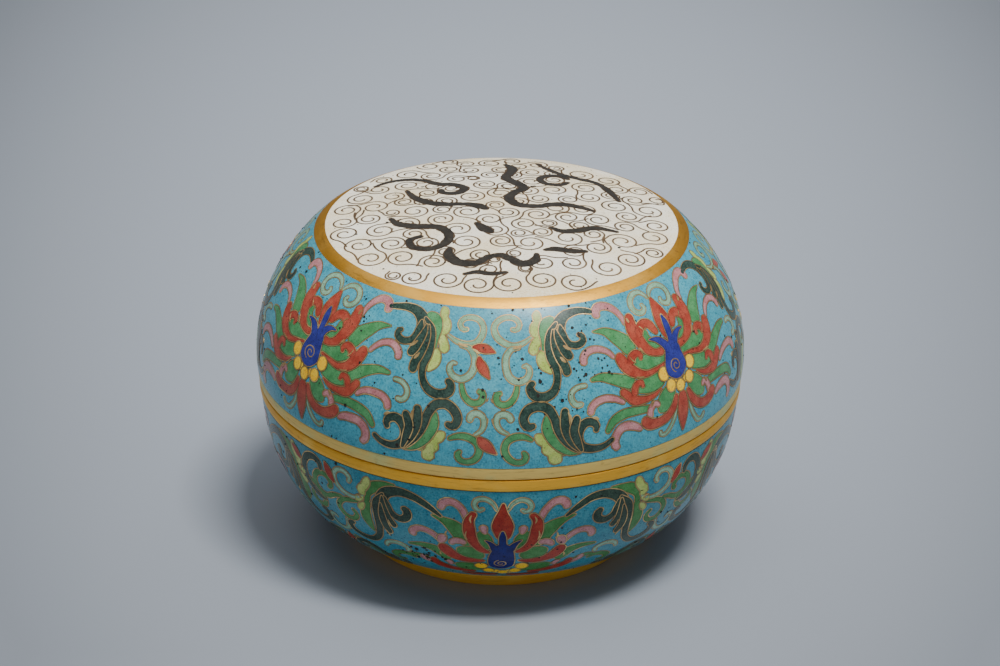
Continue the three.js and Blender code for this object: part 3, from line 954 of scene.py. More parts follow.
# Pink tips
# The red petals end in hooks of opaque pink glass that roll outwards.
pink = enamel("pink_enamel", (0.44, 0.17, 0.18), (0.58, 0.29, 0.30), (0.32, 0.08, 0.08))
blossom_pinks = [
    (paired, 1, [(38.2, 33.5, 0.5), (37.8, 36, 0.75), (36, 39, 1), (33.5, 40.6, 1.2), (31, 40.5, 1.3),
        (30, 39, 1.25), (30.3, 37.3, 1.15)]),
    (paired, 1, [(31.6, 25.5, 0.5), (30.3, 27.3, 0.65), (28, 28.6, 0.8), (25.5, 28.8, 0.9),
        (23.6, 27.8, 0.95), (22.8, 26, 0.95), (23.2, 25, 0.9)]),
    (paired, 1, [(32.5, 13.6, 0.5), (30, 15, 0.75), (27, 15.6, 0.85), (24.3, 15.1, 0.9), (23, 13.7, 0.9),
        (23.1, 12.5, 0.85)]),
    (paired, 1, [(39.5, 8, 0.9), (40, 10.2, 0.8), (41.3, 11.4, 0.75), (42.6, 10.6, 0.5)]),
    (paired, 1, [(37, 6.2, 0.6), (35, 7.2, 0.9), (33, 7.6, 1.05), (31, 7.4, 1.05), (29.3, 6, 1.05),
        (28.8, 4.3, 1), (29.3, 3, 0.9), (30.2, 2.6, 0.7)]),
]
lay_cells("pink_tips", pink, "pink_enamel", "lid", blossom=blossom_pinks)
bloom_pinks = [
    (paired, 1, [(-9.4, 9, 0.5), (-9.7, 6.8, 0.8), (-10.9, 4.6, 0.85), (-12.8, 3.3, 0.95),
        (-14.8, 3.5, 1.05), (-15.8, 5, 1), (-15.6, 6, 0.8)]),
    (paired, 3, [(-4.8, 13.2, 0.4), (-5.2, 11.8, 0.9), (-5.4, 10.5, 1.05)]),
    (paired, 1, [(-16.5, 17.2, 0.5), (-17.8, 15.2, 0.8), (-19.8, 13.8, 0.85), (-22, 13.6, 0.95),
        (-23.7, 14.9, 1), (-24, 16.8, 0.85)]),
    (paired, 3, [(-16.3, 18.2, 0.6), (-15.7, 16.4, 1.3), (-15, 15, 0.9)]),
    (paired, 3, [(-13.4, 18.4, 0.5), (-12.6, 17.1, 1), (-10.9, 16.8, 1), (-9.7, 17.5, 0.7)]),
    (paired, 3, [(-15.2, 29.4, 0.5), (-15.1, 27.6, 0.85), (-16.3, 26.7, 0.7)]),
    (paired, 1, [(-19.4, 30.2, 0.5), (-21, 28.8, 0.9), (-22.6, 27.6, 0.9), (-23, 25.8, 0.7)]),
]
lay_cells("pink_tips", pink, "pink_enamel", "bowl", bloom=bloom_pinks)

# Red petals
# The petals, the flame behind the heart and the small buds are iron red glass.
red = enamel("red_enamel", (0.34, 0.045, 0.026), (0.46, 0.095, 0.055), (0.18, 0.022, 0.016))
blossom_reds = [
    (single, 2, [(50.8, 26, 1.3), (50.8, 28.6, 2.2), (50.9, 31.6, 2.7), (50.9, 34, 2.2), (50.9, 36, 1.4),
        (51, 38.4, 0.35)]),
    (paired, 2, [(47.7, 23.6, 1.1), (45, 23.6, 0.9), (42.6, 25, 1.3), (40.8, 27.8, 1.7), (39.9, 31, 2),
        (39.9, 34, 1.6), (40.5, 36.2, 1.1)]),
    (paired, 2, [(41, 28.6, 1.1), (42.2, 31, 1.3), (44, 32, 1.3), (45.8, 31.4, 1.3), (46.8, 29.8, 1.1),
        (47.6, 28.4, 0.7)]),
    (paired, 2, [(46.8, 20.3, 0.35), (43, 19.6, 0.6), (39.8, 19.2, 0.8), (36.7, 20, 1.3), (34.6, 22, 1.7),
        (33.4, 24.3, 1.5), (32.9, 26.2, 1.25)]),
    (paired, 2, [(35.6, 22.5, 1.4), (36.8, 24.4, 1.1), (38.6, 25, 0.95), (39.6, 23.9, 0.7),
        (39, 23.1, 0.4)]),
    (paired, 2, [(43.6, 14.8, 0.15), (41.5, 13.6, 0.55), (38.5, 13.1, 0.85), (35.5, 13.6, 1.25),
        (33.5, 15.2, 1.1), (31.9, 16.8, 0.9)]),
    (paired, 2, [(35.4, 14.5, 1), (35.9, 16.5, 0.9), (37.2, 17.4, 0.8), (38.3, 16.8, 0.7),
        (38, 16.1, 0.5)]),
    (paired, 2, [(48.4, 11.5, 0.6), (47.2, 8.8, 1), (45, 6.8, 1.15), (42, 6.2, 1.2), (39.3, 6.8, 1.4),
        (37.4, 8.6, 1.2)]),
    (single, 2, [(50.4, 11.6, 1.2), (50.4, 8, 1.8), (50.4, 5, 1.5), (50.4, 1.6, 0.2)]),
]
bloom_reds = [
    (single, 2, [(0, 15.5, 1.4), (0.1, 13, 2.2), (0.1, 10.4, 2.75), (0.1, 8, 2.2), (0.1, 5.6, 1.1),
        (0.1, 3.3, 0.3)]),
    (paired, 2, [(-3.2, 20.8, 0.5), (-5, 19.8, 0.95), (-7, 17.7, 1.15), (-8.3, 15, 1.45), (-8.8, 12, 1.55),
        (-8.7, 9.2, 1.25), (-7.8, 7.5, 0.95), (-6.9, 6.6, 0.8)]),
    (paired, 2, [(-4.6, 25.2, 0.4), (-8, 25.4, 1.05), (-11.4, 24.7, 1.4), (-13.8, 22.9, 1.75),
        (-15.4, 20.5, 1.7), (-16.2, 18.6, 1.1)]),
    (paired, 2, [(-19.8, 26.6, 0.8), (-19, 29.2, 1.4), (-16.6, 31.6, 1.5), (-12.6, 33.2, 1.3),
        (-8, 34, 0.9)]),
    (paired, 2, [(-1.5, 37, 0.8), (-4.5, 37.4, 1.3), (-8.5, 37.4, 1.3), (-12, 36.6, 0.5)]),
]
lid_buds = [
    (single, 2, [(-8, 31.2, 0.3), (-5.5, 31, 1.2), (-3.6, 30.5, 1.2), (-1.4, 29.6, 0.15)]),
    (single, 2, [(-5.8, 28.6, 0.3), (-5.2, 26.6, 1.2), (-4.2, 25, 1.2), (-2.8, 23, 0.15)]),
    (single, 2, [(-5.4, 8.6, 0.3), (-4.2, 7.2, 1.2), (-2.8, 5.8, 1.25), (-0.8, 3.8, 0.15)]),
]
bowl_buds = [
    (single, 3, [(-45.3, 6.5, 0.3), (-46.5, 5, 1), (-47.4, 3.4, 1.1), (-48.4, 1.7, 0.2)]),
    (single, 3, [(-58, 4.8, 0.3), (-59.2, 3.7, 0.9), (-60.4, 2.7, 0.9), (-62, 1.8, 0.2)]),
    (single, 2, [(-47.8, 32.8, 0.3), (-48.4, 30.8, 1.2), (-47.6, 29, 1.2), (-48, 26.8, 0.15)]),
]
lay_cells("red_petals", red, "red_enamel", "lid", blossom=blossom_reds, scroll=lid_buds)
# The bowl's red: the lid's red painted deeper, as painted shade.
painted_shade_red = enamel("painted_shade_red_enamel", (0.33, 0.016, 0.007), (0.44, 0.05, 0.022), (0.17, 0.009, 0.006),
                  sheen=0.2)
lay_cells("red_petals", painted_shade_red, "red_enamel", "bowl", bloom=bloom_reds, scroll=bowl_buds)

# Yellow seeds
# A row of round yellow cells carries the heart of each blossom from below.
yellow = enamel("yellow_enamel", (1.0, 0.56, 0.010), (1.0, 0.68, 0.04), (0.86, 0.40, 0.01))


def seed(repeat, level, along, up, radius):
    """A round cell: a strip as long as it is wide, whose round ends meet."""
    return repeat, level, [(along, up - radius, radius), (along, up + radius, radius)]


blossom_seeds = [
    seed(paired, 2, 48.4, 14.3, 0.9),
    seed(single, 3, 50.2, 13.2, 1.5),
    seed(paired, 3, 46.8, 14.4, 1.5),
    seed(paired, 3, 45.2, 17.9, 1.65),
]
lay_cells("yellow_seeds", yellow, "yellow_enamel", "lid", blossom=blossom_seeds)
bloom_seeds = [
    seed(paired, 2, 2.2, 33.2, 1.5),
    seed(single, 3, 0.2, 34, 1.6),
    seed(paired, 3, 4.2, 32.4, 1.65),
    seed(paired, 3, 6, 28.8, 1.85),
]
lay_cells("yellow_seeds", yellow, "yellow_enamel", "bowl", bloom=bloom_seeds)

# Cobalt hearts
# The heart of each blossom is a bulb of deep blue glass with three prongs.
cobalt = enamel("cobalt_enamel", (0.024, 0.026, 0.21), (0.040, 0.048, 0.31), (0.014, 0.015, 0.12))
blossom_hearts = [
    (single, 4, [(50.3, 15.2, 2.7), (50.2, 17, 3.5), (50.2, 18.8, 3.65), (50.4, 20.8, 3.3),
        (50.6, 22.6, 2.8), (50.8, 24.2, 2.5), (51, 25.6, 1.2)]),
    (single, 4, [(50.9, 24, 1.2), (51.1, 26.2, 0.9), (51.3, 28.6, 1.1), (51.3, 30.6, 0.95),
        (51.2, 32.6, 0.3)]),
    (paired, 4, [(49.6, 22.6, 1.3), (48.8, 24.8, 1.2), (47.6, 26.2, 1), (46, 27, 0.6),
        (44.1, 27.2, 0.12)]),
]
bloom_hearts = [
    (single, 4, [(-0.2, 30.4, 2.2), (-0.2, 28.6, 3.2), (-0.2, 26.2, 3.65), (-0.1, 23.2, 3.5),
        (0, 20.4, 2.9), (0, 18.2, 2.4), (0, 17, 1.4)]),
    (single, 4, [(0, 18.6, 1.2), (-0.1, 16.4, 0.95), (-0.1, 14.2, 0.9), (0, 12, 0.3)]),
    (paired, 4, [(-1.6, 20.4, 1.2), (-2.3, 18.3, 0.95), (-3.3, 16.7, 0.6), (-4.7, 15.6, 0.12)]),
]
lay_cells("cobalt_hearts", cobalt, "cobalt_enamel", "lid", blossom=blossom_hearts)
# The bowl's hearts: the lid's cobalt painted darker, as painted shade.
painted_shade_cobalt = enamel("painted_shade_cobalt_enamel", (0.004, 0.007, 0.12), (0.009, 0.016, 0.20),
                     (0.003, 0.004, 0.06), sheen=0.15)
lay_cells("cobalt_hearts", painted_shade_cobalt, "cobalt_enamel", "bowl", bloom=bloom_hearts)

# Copper strips of the roundel
# Spirals of thin copper strip cover the white glass, each joined to its neighbours by its tail.
# They are set out by where their eyes lie and how wide they are, and more fill the open places.
spirals = np.array([
    (-14, 40.2, 2), (-9.5, 38, 2.2), (-3.3, 38.5, 2.4), (4, 35.8, 2.6), (14, 35.3, 2.2), (-19.5, 36.8, 2.5),
    (-13.8, 33, 2.9), (-8.5, 32, 2.8), (7.5, 30.5, 2.6), (20.3, 30.5, 2.9), (27.5, 27, 2.6),
    (-24.5, 30, 2.8), (-18.3, 27.7, 2.6), (-3, 27.5, 2.4), (-11.7, 24.5, 2.7), (-7.5, 24.8, 1.6),
    (7.5, 22.8, 2.5), (13.5, 24.7, 2.6), (-31, 26.5, 1.8), (-24.5, 20.7, 2.5), (-31.8, 19, 2.7),
    (-36.3, 21, 1.8), (-4.3, 19.7, 3), (13.2, 16.7, 3.3), (21.3, 19.8, 3.1), (29.8, 20.5, 2.6),
    (35.5, 21, 2.8), (-0.5, 13, 3.2), (-27.8, 13, 3.1), (-36, 13, 3), (-12.8, 17, 2.3), (-19, 14, 2.2),
    (-14.3, 7.8, 2.6), (-7.8, 10.7, 2.7), (9.5, 9.7, 2.6), (17, 10.2, 2.5), (22.3, 12.7, 3.1),
    (33.7, 13.6, 3), (40, 15.5, 2.2), (28.8, 7.8, 3.1), (-25, 8.5, 2.6), (-32.3, 6.5, 3.1), (-39.5, 6, 3.1),
    (-22, 1.8, 3.3), (-27.7, 1.7, 1.8), (-8.5, 0.5, 3.4), (1.5, 0, 3), (9, -1, 3.4), (16.5, -1.8, 2.8),
    (24.2, -2, 3.2), (37.3, 7, 3.5), (31.8, 1.7, 2.9), (38.8, -2.3, 2.9), (-33.3, -1.2, 2.8),
    (-39.7, -2, 2.8), (-1.5, 4.8, 2.3), (-15, -4, 3.3), (-3, -4.3, 3.3), (-39, -9, 3.1), (-30, -9, 3.4),
    (-10.8, -10.3, 3.3), (5.6, -6.8, 3.1), (11.8, -6, 1.9), (31, -5, 2.3), (37.8, -9.3, 3.3),
    (4.3, -12.5, 1.7), (10, -11.5, 2.1), (16.5, -14.2, 3.6), (22.8, -11, 2.3), (30, -13.7, 3.3),
    (-35, -16.3, 2.9), (-27, -17, 2.8), (-18.5, -17.5, 3), (-8.8, -17.5, 3.2), (0, -17, 2.7),
    (7, -17.8, 3.3), (23.7, -18.3, 3), (37.5, -18.3, 1.8), (-32, -24, 3.4), (-24.3, -24.5, 3),
    (-16.5, -27.5, 3.1), (3.2, -23.5, 1.3), (-7.3, -29, 2.3), (-1.7, -26.8, 1.3), (10, -27.8, 3.3),
    (17.5, -27.2, 2.9), (26, -28.5, 3.5), (31.5, -23, 3.4), (-26, -33.3, 1.8), (-21.2, -34.7, 3),
    (-13, -36.3, 2.8), (-5.7, -38.8, 3), (2, -38.3, 3), (6, -31, 1.6), (10, -36, 3), (18, -36.3, 3.1),
])
spiral_half_width = 0.25
spiral_lift = 0.03
eye_radius = 0.75
opening = 0.8
points_a_turn = 16
tail_turn = 1.25
tail_bend = 0.10
short_tail = 0.45
turned_before = 0.9
fewest_turns = 1.5
most_turns = 1.8
rim_left_free = 0.5
drawn_growth = 1.05
filler_tries = 6000
filler_margin = 0.15
widest_filler = 3.2
least_room = 2.55
fillable_radius = 42.6
fillable_reach = 43.6
most_growth = 1.45
overlap = 0.2
least_radius = 1.0
most_radius = 4.2
close_gap = 1.5
chance = np.random.default_rng(11)


def on_roundel(part, across_top, up_top, lift):
    """Points on the roundel's dome, by their place seen from above and how far they stand out."""
    height = roundel_edge + roundel_rise * (1 - (across_top ** 2 + up_top ** 2) / roundel_radius ** 2)
    return np.stack([across_top, up_top, height + lift], -1)


def spiral_rows(middle, radius, start, turns, hand, tail):
    """A flat spiral: the radius grows a little faster than the angle at first, from a small eye to
    the full radius, then the strip runs on outwards along its heading for the length of the tail."""
    angle = np.linspace(0.0, turns * 2 * np.pi, int(turns * points_a_turn))
    reach_out = eye_radius + (radius - eye_radius) * (angle / angle[-1]) ** opening
    heading = start + hand * angle
    run = np.linspace(0.25, 1.0, 4) * tail
    last = heading[-1] + hand * tail_turn
    x = middle[0] + reach_out * np.cos(heading)
    y = middle[1] + reach_out * np.sin(heading)
    x = np.concatenate([x, x[-1] + run * np.cos(last) + run ** 2 * tail_bend * np.cos(heading[-1])])
    y = np.concatenate([y, y[-1] + run * np.sin(last) + run ** 2 * tail_bend * np.sin(heading[-1])])
    inside = np.hypot(x, y) < roundel_radius - rim_left_free
    return np.column_stack([x, y, np.full(len(x), spiral_half_width)])[inside]


spirals[:, 2] *= drawn_growth
for _ in range(filler_tries):
    where = chance.uniform(-fillable_radius, fillable_radius, 2)
    room = (np.hypot(*(spirals[:, :2] - where).T) - spirals[:, 2]).min()
    if room > least_room and np.hypot(*where) + min(room, widest_filler) < fillable_reach:
        spirals = np.vstack([spirals, [*where, min(room - filler_margin, widest_filler)]])

# Each spiral then grows until it all but touches its nearest neighbour, and it counts as far away
# from itself.
apart = np.hypot(*(spirals[:, None, :2] - spirals[None, :, :2]).transpose(2, 0, 1))
apart += np.eye(len(spirals)) * 99
share = spirals[:, 2][:, None] / (spirals[:, 2][:, None] + spirals[:, 2][None, :])
room = (apart * share).min(axis=1) + overlap
spirals[:, 2] = np.minimum(spirals[:, 2] * most_growth, room).clip(least_radius, most_radius)

spiral_strips = []
for eye_x, eye_y, radius in spirals:
    gap = np.hypot(spirals[:, 0] - eye_x, spirals[:, 1] - eye_y)
    nearest = np.argsort(gap)[chance.integers(1, 4)]
    towards = np.arctan2(spirals[nearest, 1] - eye_y, spirals[nearest, 0] - eye_x)
    hand = chance.choice((-1, 1))
    turns = chance.uniform(fewest_turns, most_turns)
    close_by = gap[nearest] - radius - spirals[nearest, 2] < close_gap
    tail = radius * (1.0 if close_by else short_tail)
    start = towards - hand * (turned_before + turns * 2 * np.pi)
    rows = spiral_rows((eye_x, eye_y), radius, start, turns, hand, tail)
    spiral_strips.append(strip(on_roundel, "roundel", rows, 0.0, spiral_lift, 0.38, 0.0))
strip_brown = gilding("strip_brown", (0.115, 0.07, 0.035), (0.20, 0.125, 0.06), (0.05, 0.034, 0.022),
                      0.5, 2500.0, 0.35)
roundel_strips = gathered_mesh("roundel_strips", spiral_strips)
roundel_strips.data.materials.append(strip_brown)
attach(roundel_strips, "root")
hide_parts("lid_shell")

# Black strokes of the roundel
# Curled strokes of black glass lie across the white, thick and thin, each in a cell of its own.
black = enamel("black_enamel", (0.020, 0.017, 0.013), (0.036, 0.031, 0.024), (0.07, 0.06, 0.045),
               roughness=0.3)
strokes = [
    [(-33, 21.5, 0.3), (-29.5, 24.4, 0.6), (-25, 25.5, 0.8), (-20, 23.8, 0.9), (-16.5, 20.6, 1),
     (-12.2, 19.6, 1.1), (-9.6, 16.6, 1.1), (-11.2, 13.4, 1), (-14.8, 13.6, 0.9), (-15.8, 16.4, 0.7)],
    [(-24.5, 16.5, 0.3), (-22.5, 11.5, 0.9), (-19, 7.4, 1.3), (-14, 5.4, 1.2), (-9, 5.4, 0.9),
     (-5.5, 3.6, 1.4), (-3.6, 1.8, 0.5)],
    [(0.8, 37.5, 0.4), (2.6, 33.5, 1.3), (2, 29, 1.2), (1, 25, 1.2), (3.6, 21, 1.4), (5.6, 17.2, 1.3),
     (3.2, 13.6, 1.2), (1.8, 9.2, 1.3), (4, 5.2, 1.3), (9, 4.4, 1.1), (14, 6.2, 1.2), (19, 5.6, 1.1),
     (23.5, 3, 0.3)],
    [(9, 39, 0.2), (11.2, 35, 0.5), (14.5, 30.6, 0.7), (19.5, 27, 0.8), (24.6, 24, 0.7), (27.6, 18.6, 0.9),
     (30, 11.5, 0.3)],
    [(17.2, 25.6, 0.5), (15.2, 28.2, 0.8), (11.8, 27.8, 0.8), (9.8, 24.8, 0.8), (11.2, 21.4, 0.8),
     (14.8, 20.6, 0.7), (17.3, 23.2, 0.5)],
    [(-28, -2, 0.3), (-26, -5.6, 1), (-21, -8, 1.3), (-16, -8.8, 1.2), (-13.2, -12.4, 1.2),
     (-13.6, -17.6, 1.1), (-17.4, -20.8, 1), (-21.8, -19.4, 0.9), (-22.6, -15.6, 0.8),
     (-19.6, -13.6, 0.6)],
    [(-6.4, -6.6, 0.3), (-5.2, -8.8, 1.2), (-3.8, -10.8, 1.5), (-2.2, -12.6, 0.5)],
    [(-12.6, -20.4, 0.4), (-12.8, -24.6, 1.3), (-10.2, -28.2, 1.5), (-6, -28.6, 1.2), (-3.4, -26, 1),
     (-0.4, -24.6, 0.9), (2.2, -26.4, 1.2), (5.2, -28.8, 1.4), (8.2, -27, 1.1), (8.6, -23.4, 0.4)],
    [(12, -8.6, 0.3), (15, -10.4, 1), (19, -9.6, 1.1), (23, -7.4, 1), (29, -8.5, 0.3)],
    [(10.5, -21.4, 0.3), (13, -20.6, 1), (17, -21.2, 1), (21, -20.8, 0.4)],
    [(-9, -34, 0.3), (-6, -33, 0.7), (-2, -33.8, 0.7), (1.5, -33, 0.3)],
]
stroke_lift = 0.065
stroke_edge_lift = 0.045
stroke_edge_width = 0.36
stroke_share = 0.94
chance = np.random.default_rng(21)


def uneven(rows, shake):
    """The stroke's rows taken closer together, each moved and narrowed or widened a little."""
    close = smooth_path(rows, 0.8)
    close[:, 2] *= stroke_share
    return close + chance.normal(0, 1, close.shape) * shake * np.minimum(close[:, 2:], 1.0)


stroke_rows = [uneven(rows, 0.05) for rows in strokes]
stroke_edges = [
    strip(on_roundel, "roundel", uneven(rows, 0.09), stroke_edge_width, stroke_edge_lift, 0.4)
    for rows in stroke_rows
]
stroke_fills = [strip(on_roundel, "roundel", rows, 0.0, stroke_lift, 0.4) for rows in stroke_rows]
for name, strips, material, slot in (
    ("roundel_stroke_edges", stroke_edges, strip_brown, "gilt"),
    ("roundel_strokes", stroke_fills, black, "black_enamel"),
):
    made = gathered_mesh(name, strips)
    made.data.materials.append(material)
    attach(made, "root")
    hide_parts("lid_shell")

# Gilt details on the walls
# Where strips meet, small gold dabs stand for the solder and gilding there and for the glints the
# strips catch there, so they are partly painted highlight, and a gilt spiral is laid into each cobalt heart.
strip_gold = gilding("strip_gold", (0.40, 0.26, 0.105), (0.92, 0.66, 0.28), (0.05, 0.034, 0.022),
                     0.34, 2500.0, 0.55)
heart_middle = (50.2, 18.9)
heart_turns = 1.7
heart_steps = 22
heart_half_width = 0.14
heart_angle = np.linspace(0.0, heart_turns * 2 * np.pi, heart_steps)
heart_reach = 0.35 + 1.75 * heart_angle / heart_angle[-1]
heart_spiral = np.column_stack([
    heart_middle[0] + heart_reach * np.cos(heart_angle),
    heart_middle[1] + heart_reach * np.sin(heart_angle),
    np.full(heart_steps, heart_half_width),
])
# The dabs where strips meet are partly painted highlight, standing for the glints there.
blossom_dabs = [
    (paired, 5, [(39.5, 33.6, 0.25), (39.3, 34.4, 0.4), (39.1, 35.2, 0.2)]),
    (paired, 5, [(40, 26.2, 0.15), (40.5, 25.2, 0.3), (41.1, 24.4, 0.1)]),
    (paired, 5, [(36.6, 18.9, 0.15), (38, 18.5, 0.25), (39, 18.6, 0.12)]),
    (paired, 5, [(41.2, 12.3, 0.15), (40.6, 11.5, 0.3), (40.2, 10.8, 0.12)]),
    (paired, 5, [(42.1, 31.6, 0.12), (42.8, 30.8, 0.16), (43.2, 30, 0.1)]),
    (paired, 5, [(36, 24.4, 0.1), (36.6, 23.2, 0.15), (37.4, 22.4, 0.1)]),
    (single, 5, heart_spiral),
]
bloom_dabs = [
    (paired, 5, [(-9.4, 12.6, 0.1), (-9.7, 14.4, 0.22), (-9.2, 16, 0.1)]),
    (paired, 5, [(-14.2, 13.4, 0.12), (-14.6, 14.6, 0.25), (-14, 15.6, 0.1)]),
    (paired, 5, [(-7.9, 7.4, 0.12), (-8.4, 8.6, 0.25), (-8.2, 9.8, 0.1)]),
    (paired, 5, [(-16.8, 22.2, 0.12), (-17.2, 23, 0.25), (-17, 24, 0.1)]),
    (single, 5, heart_spiral * (1, 1, 1.3) - (50.4, -7.9, 0)),
]
lid_scroll_dabs = [
    (paired, 5, [(17.2, 30.9, 0.15), (18.2, 30.1, 0.45), (19.5, 29.2, 0.2)]),
    (paired, 5, [(16.2, 27.9, 0.15), (17, 27, 0.4), (17.8, 26.2, 0.15)]),
    (paired, 5, [(9, 16.9, 0.05), (10, 16.85, 0.22), (11, 16.9, 0.05)]),
    (paired, 5, [(-2.2, 18.4, 0.05), (-1.9, 17.7, 0.22), (-1.5, 17.1, 0.05)]),
    (paired, 5, [(-1.8, 13.2, 0.05), (-1.5, 12.3, 0.25), (-1.3, 11.4, 0.05)]),
    (paired, 5, [(0.5, 15.4, 0.05), (1.2, 15.5, 0.22), (1.9, 15.35, 0.05)]),
    (paired, 5, [(3.4, 31.1, 0.15), (4.6, 31.4, 0.4), (6, 32, 0.2)]),
    (paired, 5, [(22.8, 11.8, 0.15), (23.8, 11.5, 0.4), (24.6, 11, 0.15)]),
    (paired, 5, [(16.6, 13.8, 0.12), (17.1, 12.6, 0.35), (17.2, 11.2, 0.1)]),
    (single, 5, [(-7.8, 30.6, 0.15), (-6.6, 30, 0.35), (-5.6, 29.2, 0.12)]),
]
bowl_scroll_dabs = [
    (paired, 5, [(-36.6, 8.4, 0.12), (-37.4, 7.6, 0.25), (-38.4, 7.4, 0.12)]),
    (paired, 5, [(-29.6, 13, 0.1), (-29.2, 14.4, 0.2), (-28.6, 15.2, 0.1)]),
    (paired, 5, [(-31.4, 17, 0.1), (-30.6, 18, 0.25), (-30, 19.4, 0.1)]),
]
for part, motifs in (
    ("lid", {"blossom": blossom_dabs, "scroll": lid_scroll_dabs}),
    ("bowl", {"bloom": bloom_dabs, "scroll": bowl_scroll_dabs}),
):
    dabs = [strip(on_wall, part, rows, 0.0, base, 0.45, 0.0) for rows, base in laid_out(part, motifs)]
    made = gathered_mesh(f"{part}_gold_dabs", dabs)
    made.data.materials.append(strip_gold)
    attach(made, "root")
    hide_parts(f"{part}_shell")

# Pits in the enamel
# Gas bubbles in the glass were opened by the grinding and have filled with dirt. They crowd
# together in places, most of all in one worn place on each wall.
pit_dirt = enamel("pit_dirt", (0.010, 0.009, 0.008), (0.022, 0.018, 0.014), (0.035, 0.03, 0.022),
                  roughness=0.6, coat=0.0)
pit_sides = 6
pit_uneven = np.array([1.0, 1.2, 0.9, 1.0, 1.1, 0.85])
pit_depth = 0.2
pits_reach = 43.5
crowded_share = 0.55
crowd_spread = 3.2
worn_share = 0.2
worn_growth = 1.5
above_cells_share = 0.3
above_cells = 0.16
above_glass = 0.03
above_white = 0.05
worn_places = {"lid": ((20.0, 26.0), (10.0, 9.0)), "bowl": ((-22.0, -27.0), (4.5, 3.5))}


def pit(surface, part, along, up, radius, lift):
    """A speck: a six sided disc on the surface, a little uneven, its sides sunk in."""
    corner = np.arange(pit_sides)
    angle = corner * np.pi / 3 + radius * 40
    x = along + np.cos(angle) * radius * pit_uneven
    y = up + np.sin(angle) * radius
    top = surface(part, x, y, np.full(pit_sides, lift))
    base = surface(part, x, y, np.full(pit_sides, -pit_depth))
    following = (corner + 1) % pit_sides
    sides = np.stack([corner, corner + pit_sides, following + pit_sides, following], -1)
    return np.vstack([top, base]), sides, (corner, corner[::-1] + pit_sides), np.zeros(2 * pit_sides)


def pit_places(part, count):
    """Where a wall's pits lie: evenly strewn, then some moved to near others and some to the worn
    place, each by a normal spread. Returns which are worn too."""
    low, high = walls[part][[0, -1], 0]
    place = np.stack([
        chance.uniform(0, 2 * np.pi * lid_radius, count),
        low + (high - low) * chance.uniform(0.02, 0.98, count),
    ], -1)
    crowd_at = place[chance.integers(0, count // 4, count)]
    crowded = chance.uniform(0, 1, count) < crowded_share
    place[crowded] = (crowd_at + chance.normal(0, crowd_spread, (count, 2)))[crowded]
    worn_at, worn_spread = worn_places[part]
    worn = chance.uniform(0, 1, count) < worn_share
    place[worn] = worn_at + chance.normal(0, 1, (count, 2))[worn] * worn_spread
    place[:, 1] = np.clip(place[:, 1], low + 0.5, high - 0.5)
    return place, worn


for part, surface, solid, count, seed_number in (
    ("lid", on_wall, "lid_shell", 760, 5),
    ("bowl", on_wall, "bowl_shell", 460, 6),
    ("roundel", on_roundel, "lid_shell", 170, 7),
):
    chance = np.random.default_rng(seed_number)
    if part == "roundel":
        distance = pits_reach * np.sqrt(chance.uniform(0, 1, count))
        turned_by = chance.uniform(0, 2 * np.pi, count)
        place = np.stack([distance * np.cos(turned_by), distance * np.sin(turned_by)], -1)
        size = chance.gamma(2.2, 0.075, count).clip(0.06, 0.5)
        lifts = np.full(count, above_white)
    else:
        place, worn = pit_places(part, count)
        size = chance.gamma(2.2, 0.075, count).clip(0.06, 0.5)
        size[worn] *= worn_growth
        lifts = np.where(chance.uniform(0, 1, count) < above_cells_share, above_cells, above_glass)
    specks = [pit(surface, part, x, y, radius, lift) for (x, y), radius, lift in zip(place, size, lifts)]
    made = gathered_mesh(f"{part}_pits", specks)
    made.data.materials.append(pit_dirt)
    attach(made, "root")
    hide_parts(solid)

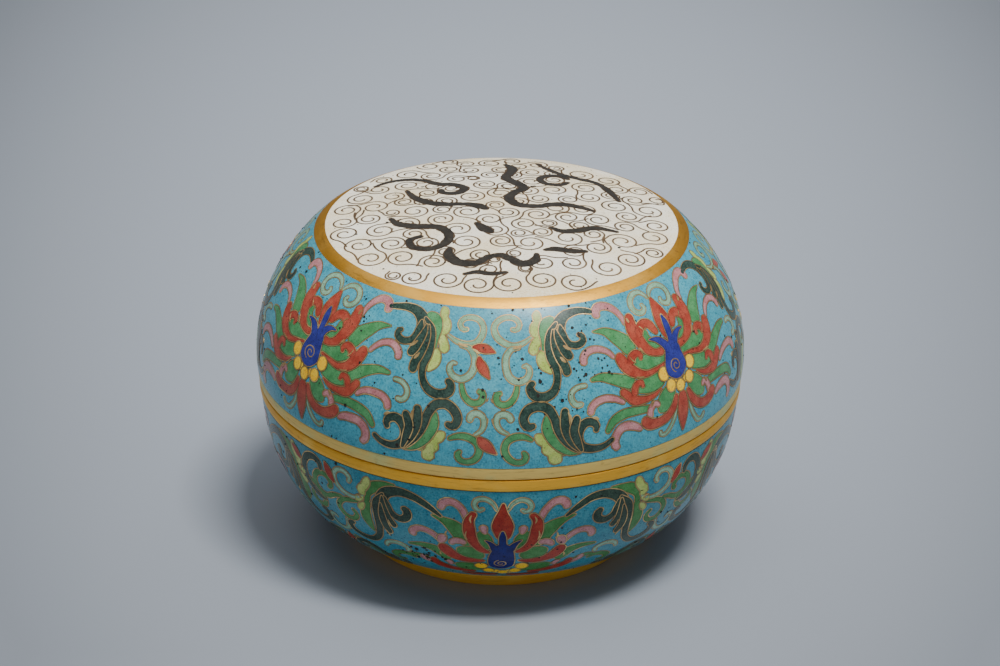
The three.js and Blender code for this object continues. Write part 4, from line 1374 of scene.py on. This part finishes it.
# Copper strips of the walls
# The outlines of all the cells: gilt copper strip a quarter of a millimetre thick, ground flush
# with the glass, so that only its edge shows as a thin line.
strip_spread = wire_width + 0.07
for part in ("lid", "bowl"):
    outlines = strip_outlines[part]
    laid = [strip(on_wall, part, rows, strip_spread, base, 0.75, 0.13, 1.7) for rows, base in outlines]
    made = gathered_mesh(f"{part}_strips", laid)
    made.data.materials.append(strip_gold)
    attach(made, "root")
    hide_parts(f"{part}_shell")

# Collar of the bowl
# A gilt collar on the bowl's mouth: its face shows as a band, and an upright lip holds the lid.
band_swell = 0.35
lip_inner = 55.8
lip_outer = 57.3
lip_top = 47.7
face_bottom = bowl_curve(bowl_band_bottom, joint_height, 0.0, 2)[0]
inner_bottom = bowl_curve(bowl_band_bottom, joint_height, bowl_wall, 2)[0]
bowl_collar = turned("gilt_bowl_collar", rounded([
    face_bottom,
    (bowl_radius + band_swell, bowl_band_bottom + 1.1),
    (bowl_radius + band_swell, joint_height),
    (lip_outer, joint_height),
    (lip_outer, lip_top),
    (lip_inner, lip_top),
    (lip_inner, joint_height - 1.65),
    inner_bottom,
], edge_round))
gilt = gilding("gilt", (0.90, 0.48, 0.045), (0.96, 0.58, 0.10), (0.46, 0.23, 0.04), 0.38, 1500.0, 0.8)
bowl_collar.data.materials.append(gilt)
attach(bowl_collar, "root")
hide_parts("bowl_collar")

# Foot ring
# A low cast ring, gilt, soldered under the bowl. It narrows towards the table.
foot_height = 5.2
foot_radius = 36.6
foot_flare = 3.6
foot_inner = 33.9
foot_share = np.linspace(0.0, 1.0, 10)
foot_width = foot_radius + foot_flare * (1 - (1 - foot_share) ** 1.15)
foot_side = np.stack([foot_width, foot_height * foot_share], -1)
foot_side[0] = (foot_radius - 0.18, 0.0)
foot_ring = turned("gilt_foot_ring", np.vstack([
    [[foot_inner, foot_height], [foot_inner, 0.2], [foot_inner + 0.2, 0.0], [foot_radius - 0.55, 0.0]],
    foot_side,
]))
# The foot's gilt is painted brighter and made far less metallic: painted light and reflection, so that the
# foot shows lit though it faces the shaded table.
foot_painted_light_gilt = gilding("foot_painted_light_gilt", (1.0, 0.53, 0.04), (1.0, 0.60, 0.08), (0.66, 0.30, 0.03), 0.5, 1500.0, 0.25)
foot_ring.data.materials.append(foot_painted_light_gilt)
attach(foot_ring, "root")
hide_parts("foot_ring")
